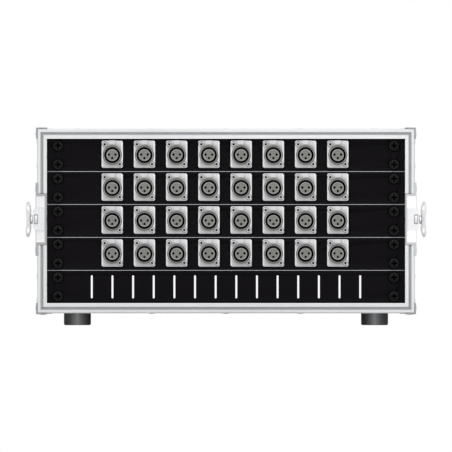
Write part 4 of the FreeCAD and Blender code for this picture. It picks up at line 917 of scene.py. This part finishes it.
# painted shade: the same moulding painted near black away from the light, in the pin holes and round the foot of the
# core
shaded, tree, shader = finish("nylon_painted_shade", {"Roughness": 0.6, "Specular IOR Level": 0.0,
                                              "Base Color": linear(INSERT_SHADE)})
grainy(tree, shader, FLOW_MARK, 0.15, 3.0)
for face in core.faces:
    if face.calc_center_median().y > CORE_FRONT + 1.5 * MM:
        face.material_index = 1
piece("socket_cores", repeat(remember_place(core), SOCKETS), [nylon, shaded], CASE, "insert_grey",
      "connector_inserts")


# ---------------------------------------------------------------- contacts
# Three turned brass sockets in each core, silver plated and put in from behind, with a cup at the
# back for the solder.

SILVER = "#C9C6BE"
TARNISH = "#0A0A09"
TAILS = -118 * MM
TARNISH_SPOT = 2 * MM

# silver plate: warm white at the solder cups, tarnished black where the pins go
silver, tree, shader = finish("silver_plate", {"Metallic": 1.0})
place = add(tree, "TexCoord").outputs["Object"]
depth = add(tree, "SeparateXYZ", {}, {"Vector": place}).outputs["Y"]
clean = add(tree, "Math", {"operation": "GREATER_THAN"}, {0: depth, 1: TAILS}).outputs[0]
colour = add(tree, "Mix", {"data_type": "RGBA"}, {"Factor": clean, "A": linear(TARNISH), "B": linear(SILVER)})
tree.links.new(colour.outputs["Result"], shader.inputs["Base Color"])
patchy_gloss(tree, shader, TARNISH_SPOT, 0.2, 0.4)
dress(silver, "socket_contacts")


# ---------------------------------------------------------------- flange screws
# Two countersunk cross recess screws hold each flange to its panel. They are nickel plated steel, and
# their recesses are painted near black for the shade in them.

RECESS_HALF = 1.5 * MM
RECESS_ARM = 0.9 * MM
RECESS_DEEP = 1.3 * MM
SCREW_SHANK = 1.5 * MM
SCREW_LONG = 8.7 * MM
SCREW_PLATE = "#A8A8A7"
RECESS_SHADE = "#060606"
RECESS_GRAIN = 0.5 * MM


def cross(half, arm, deep, front):
    """The tip of a cross driver: four arms that narrow with depth."""
    made = bmesh.new()
    outline = []
    for i in range(4):
        turn = math.radians(90 * i)
        for out, aside in ((half, -arm), (half, arm), (arm, arm)):
            outline.append(Vector((out * math.cos(turn) - aside * math.sin(turn),
                                   out * math.sin(turn) + aside * math.cos(turn))))
    top = [made.verts.new((spot.x, front - deep, spot.y)) for spot in outline]
    level = [made.verts.new((spot.x, front, spot.y)) for spot in outline]
    tip = [made.verts.new((spot.x * 0.35, front + deep, spot.y * 0.35)) for spot in outline]
    for one, two in ((top, level), (level, tip)):
        for i in range(len(one)):
            j = (i + 1) % len(one)
            made.faces.new((one[i], one[j], two[j], two[i]))
    made.faces.new(top)
    made.faces.new(tip)
    bmesh.ops.recalc_face_normals(made, faces=made.faces)
    return made


head_front = 0.1 * MM - BOSS_PROUD
screw = turned(eased([(0, head_front), (SCREW_HEAD, head_front), (SCREW_HEAD, head_front + 0.25 * MM),
                      (SCREW_SHANK, 0.95 * MM), (SCREW_SHANK, SCREW_LONG), (0, SCREW_LONG)], 0.12 * MM), 32)
screw = cut(screw, cross(RECESS_HALF, RECESS_ARM, RECESS_DEEP, head_front))
screw_places = []
for number, socket in enumerate(SOCKETS):
    for spot in SCREW_SPOTS:
        # each stopped where it was tight
        screw_places.append(socket @ spot @ Matrix.Rotation(1.1 * number + 20 * spot.translation.x / MM, 4, "Y"))

# nickel plated steel: the same white metal, a little duller from the driver
plated, tree, shader = finish("nickel_plated_steel", {"Metallic": 1.0, "Base Color": linear(SCREW_PLATE)})
patchy_gloss(tree, shader, SATIN, 0.25, 0.45, 3.0)

# painted shade: near black at the bottom of a driver's recess
recess_shade_finish, tree, shader = finish("recess_painted_shade", {"Roughness": 0.8, "Specular IOR Level": 0.0,
                                              "Base Color": linear(RECESS_SHADE)})
grainy(tree, shader, RECESS_GRAIN, 0.3)
piece("socket_screws", repeat(screw, screw_places), [plated, recess_shade_finish], CASE, "nickel", "flange_screws")


# ---------------------------------------------------------------- release tabs
# The push button over each bore that frees the plug, stamped from sheet steel and nickel plated. A
# leaf of the same piece, behind the flange, is its spring.

TAB = "#C4C4C7"

# nickel plated steel, brighter than the flange because thumbs polish it
thumbed, tree, shader = finish("polished_nickel", {"Metallic": 1.0, "Base Color": linear(TAB)})
patchy_gloss(tree, shader, SATIN, 0.2, 0.4, 3.0)
dress(thumbed, *TABS)


# ---------------------------------------------------------------- cup washers and rack screws
# Twenty cross recess screws hold the panels to the rails, each in a turned cup washer that spares
# the powder coat.

OXIDE = "#161617"
OXIDE_CUP_SHADE = "#050506"
RACK_HEAD = 6.35 * MM
RACK_FLAT = 3.4 * MM
RACK_CROWN = 0.95 * MM
CUP_FRONT = 6.9 * MM
CUP_BACK = 7.9 * MM
CUP_TALL = 2.4 * MM
RACK_LONG = 14 * MM
RACK_RECESS = 4.4 * MM
RACK_ARM = 1.25 * MM
RACK_RECESS_DEEP = 1.8 * MM
RACK_RISE = 12.7 * MM
OIL_SPOT = 3 * MM

rack_low, rack_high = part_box("rack_screws")
rack_places = []
for panel in PANELS:
    low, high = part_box(panel)
    for x in (rack_low.x + RACK_HEAD, rack_high.x - RACK_HEAD):
        for rise in (-RACK_RISE, RACK_RISE):
            rack_places.append(Matrix.Translation((x, low.y, (low.z + high.z) / 2 + rise)))

crown = -CUP_TALL - RACK_CROWN
rack_screw = turned([(0, crown), (RACK_FLAT, crown), (4.6 * MM, crown + 0.2 * MM), (5.6 * MM, crown + 0.52 * MM),
                     (RACK_HEAD, -CUP_TALL), (RACK_HEAD, 0.15 * MM - CUP_TALL), (4.4 * MM, -0.5 * MM),
                     (3 * MM, -0.5 * MM), (3 * MM, RACK_LONG), (0, RACK_LONG)])
rack_screw = cut(rack_screw, cross(RACK_RECESS, RACK_ARM, RACK_RECESS_DEEP, crown))
cup = turned(eased([(CUP_BACK, 0), (CUP_FRONT, -CUP_TALL), (RACK_HEAD + 0.1 * MM, -CUP_TALL), (4.6 * MM, -0.4 * MM),
                    (3.3 * MM, -0.4 * MM), (3.3 * MM, 0), (CUP_BACK, 0)], 0.12 * MM))

oxides = []
for name, code in (("screw", OXIDE), ("cup", OXIDE_CUP_SHADE)):
    # black oxide on steel: near black, with the slight gloss of the oil left in it; the cup washers' copy is darker,
    # painted shade round each screw head
    oxide, tree, shader = finish("black_oxide_" + name, {"Specular IOR Level": 0.08, "Base Color": linear(code)})
    patchy_gloss(tree, shader, OIL_SPOT, 0.25, 0.5)
    oxides.append(oxide)
# the rack screws' recesses take the same painted shade
piece("panel_screws", repeat(rack_screw, rack_places), [oxides[0], recess_shade_finish], CASE, "screw_black", "rack_screws")
piece("panel_cups", repeat(cup, rack_places), [oxides[1]], CASE, "screw_black", "cup_washers")


# ---------------------------------------------------------------- studio
# A pale floor, soft lamps and a white surround. The camera looks straight at the front from far
# away, as in a catalogue drawing, so it is an orthographic one.

PICTURE_WIDE = 610 * MM
PICTURE_MIDDLE = 133.8 * MM
FAR = 2.0
FLOOR = "#F4F4F4"
FLOOR_HALF = 6.0

camera = bpy.data.objects.new("camera", bpy.data.cameras.new("camera"))
bpy.context.scene.collection.objects.link(camera)
camera.data.type = "ORTHO"
camera.data.ortho_scale = PICTURE_WIDE
camera.location = (0, -FAR, PICTURE_MIDDLE)
camera.rotation_euler = (math.pi / 2, 0, 0)
bpy.context.scene.camera = camera

floor_mesh = bpy.data.meshes.new("floor")
corners = [(x * FLOOR_HALF, y * FLOOR_HALF, 0) for x, y in ((-1, -1), (1, -1), (1, 1), (-1, 1))]
floor_mesh.from_pydata(corners, [], [(0, 1, 2, 3)])
floor = bpy.data.objects.new("floor", floor_mesh)
bpy.context.scene.collection.objects.link(floor)
paper, tree, shader = finish("floor_paper", {"Base Color": linear(FLOOR), "Roughness": 0.9,
                                             "Specular IOR Level": 0.0})
floor_mesh.materials.append(paper)

# name, place in metres, width in metres, watts
LAMPS = [("key", (-0.7, -1.7, 1.5), 2.6, 13), ("fill", (1.0, -1.7, 0.9), 2.4, 9),
         ("top", (0.0, 0.3, 1.9), 2.6, 7), ("back", (0.6, 1.8, 1.3), 2.4, 7)]
for name, where, wide, watts in LAMPS:
    lamp = bpy.data.objects.new(name, bpy.data.lights.new(name, "AREA"))
    bpy.context.scene.collection.objects.link(lamp)
    lamp.data.shape = "SQUARE"
    lamp.data.size = wide
    lamp.data.energy = watts
    lamp.location = where
    aim = Vector((0, 0, PICTURE_MIDDLE)) - Vector(where)
    lamp.rotation_euler = aim.to_track_quat("-Z", "Y").to_euler()

WORLD_LIGHT = 0.8
world = bpy.data.worlds.new("studio")
bpy.context.scene.world = world
world.use_nodes = True
tree = world.node_tree
tree.nodes.clear()
path = add(tree, "LightPath").outputs
seen = add(tree, "Math", {"operation": "MAXIMUM"}, {0: path["Is Camera Ray"], 1: path["Is Glossy Ray"]})
shown = add(tree, "Math", {"operation": "MAXIMUM"}, {0: seen.outputs[0], 1: path["Is Transmission Ray"]})
strength = add(tree, "MapRange", {}, {"Value": shown.outputs[0], "To Min": WORLD_LIGHT, "To Max": 1.0})
surround = add(tree, "Background", {}, {"Color": (1, 1, 1, 1), "Strength": strength.outputs[0]})
add(tree, "OutputWorld", {}, {"Surface": surround.outputs[0]})

bpy.context.scene.view_settings.view_transform = "Standard"
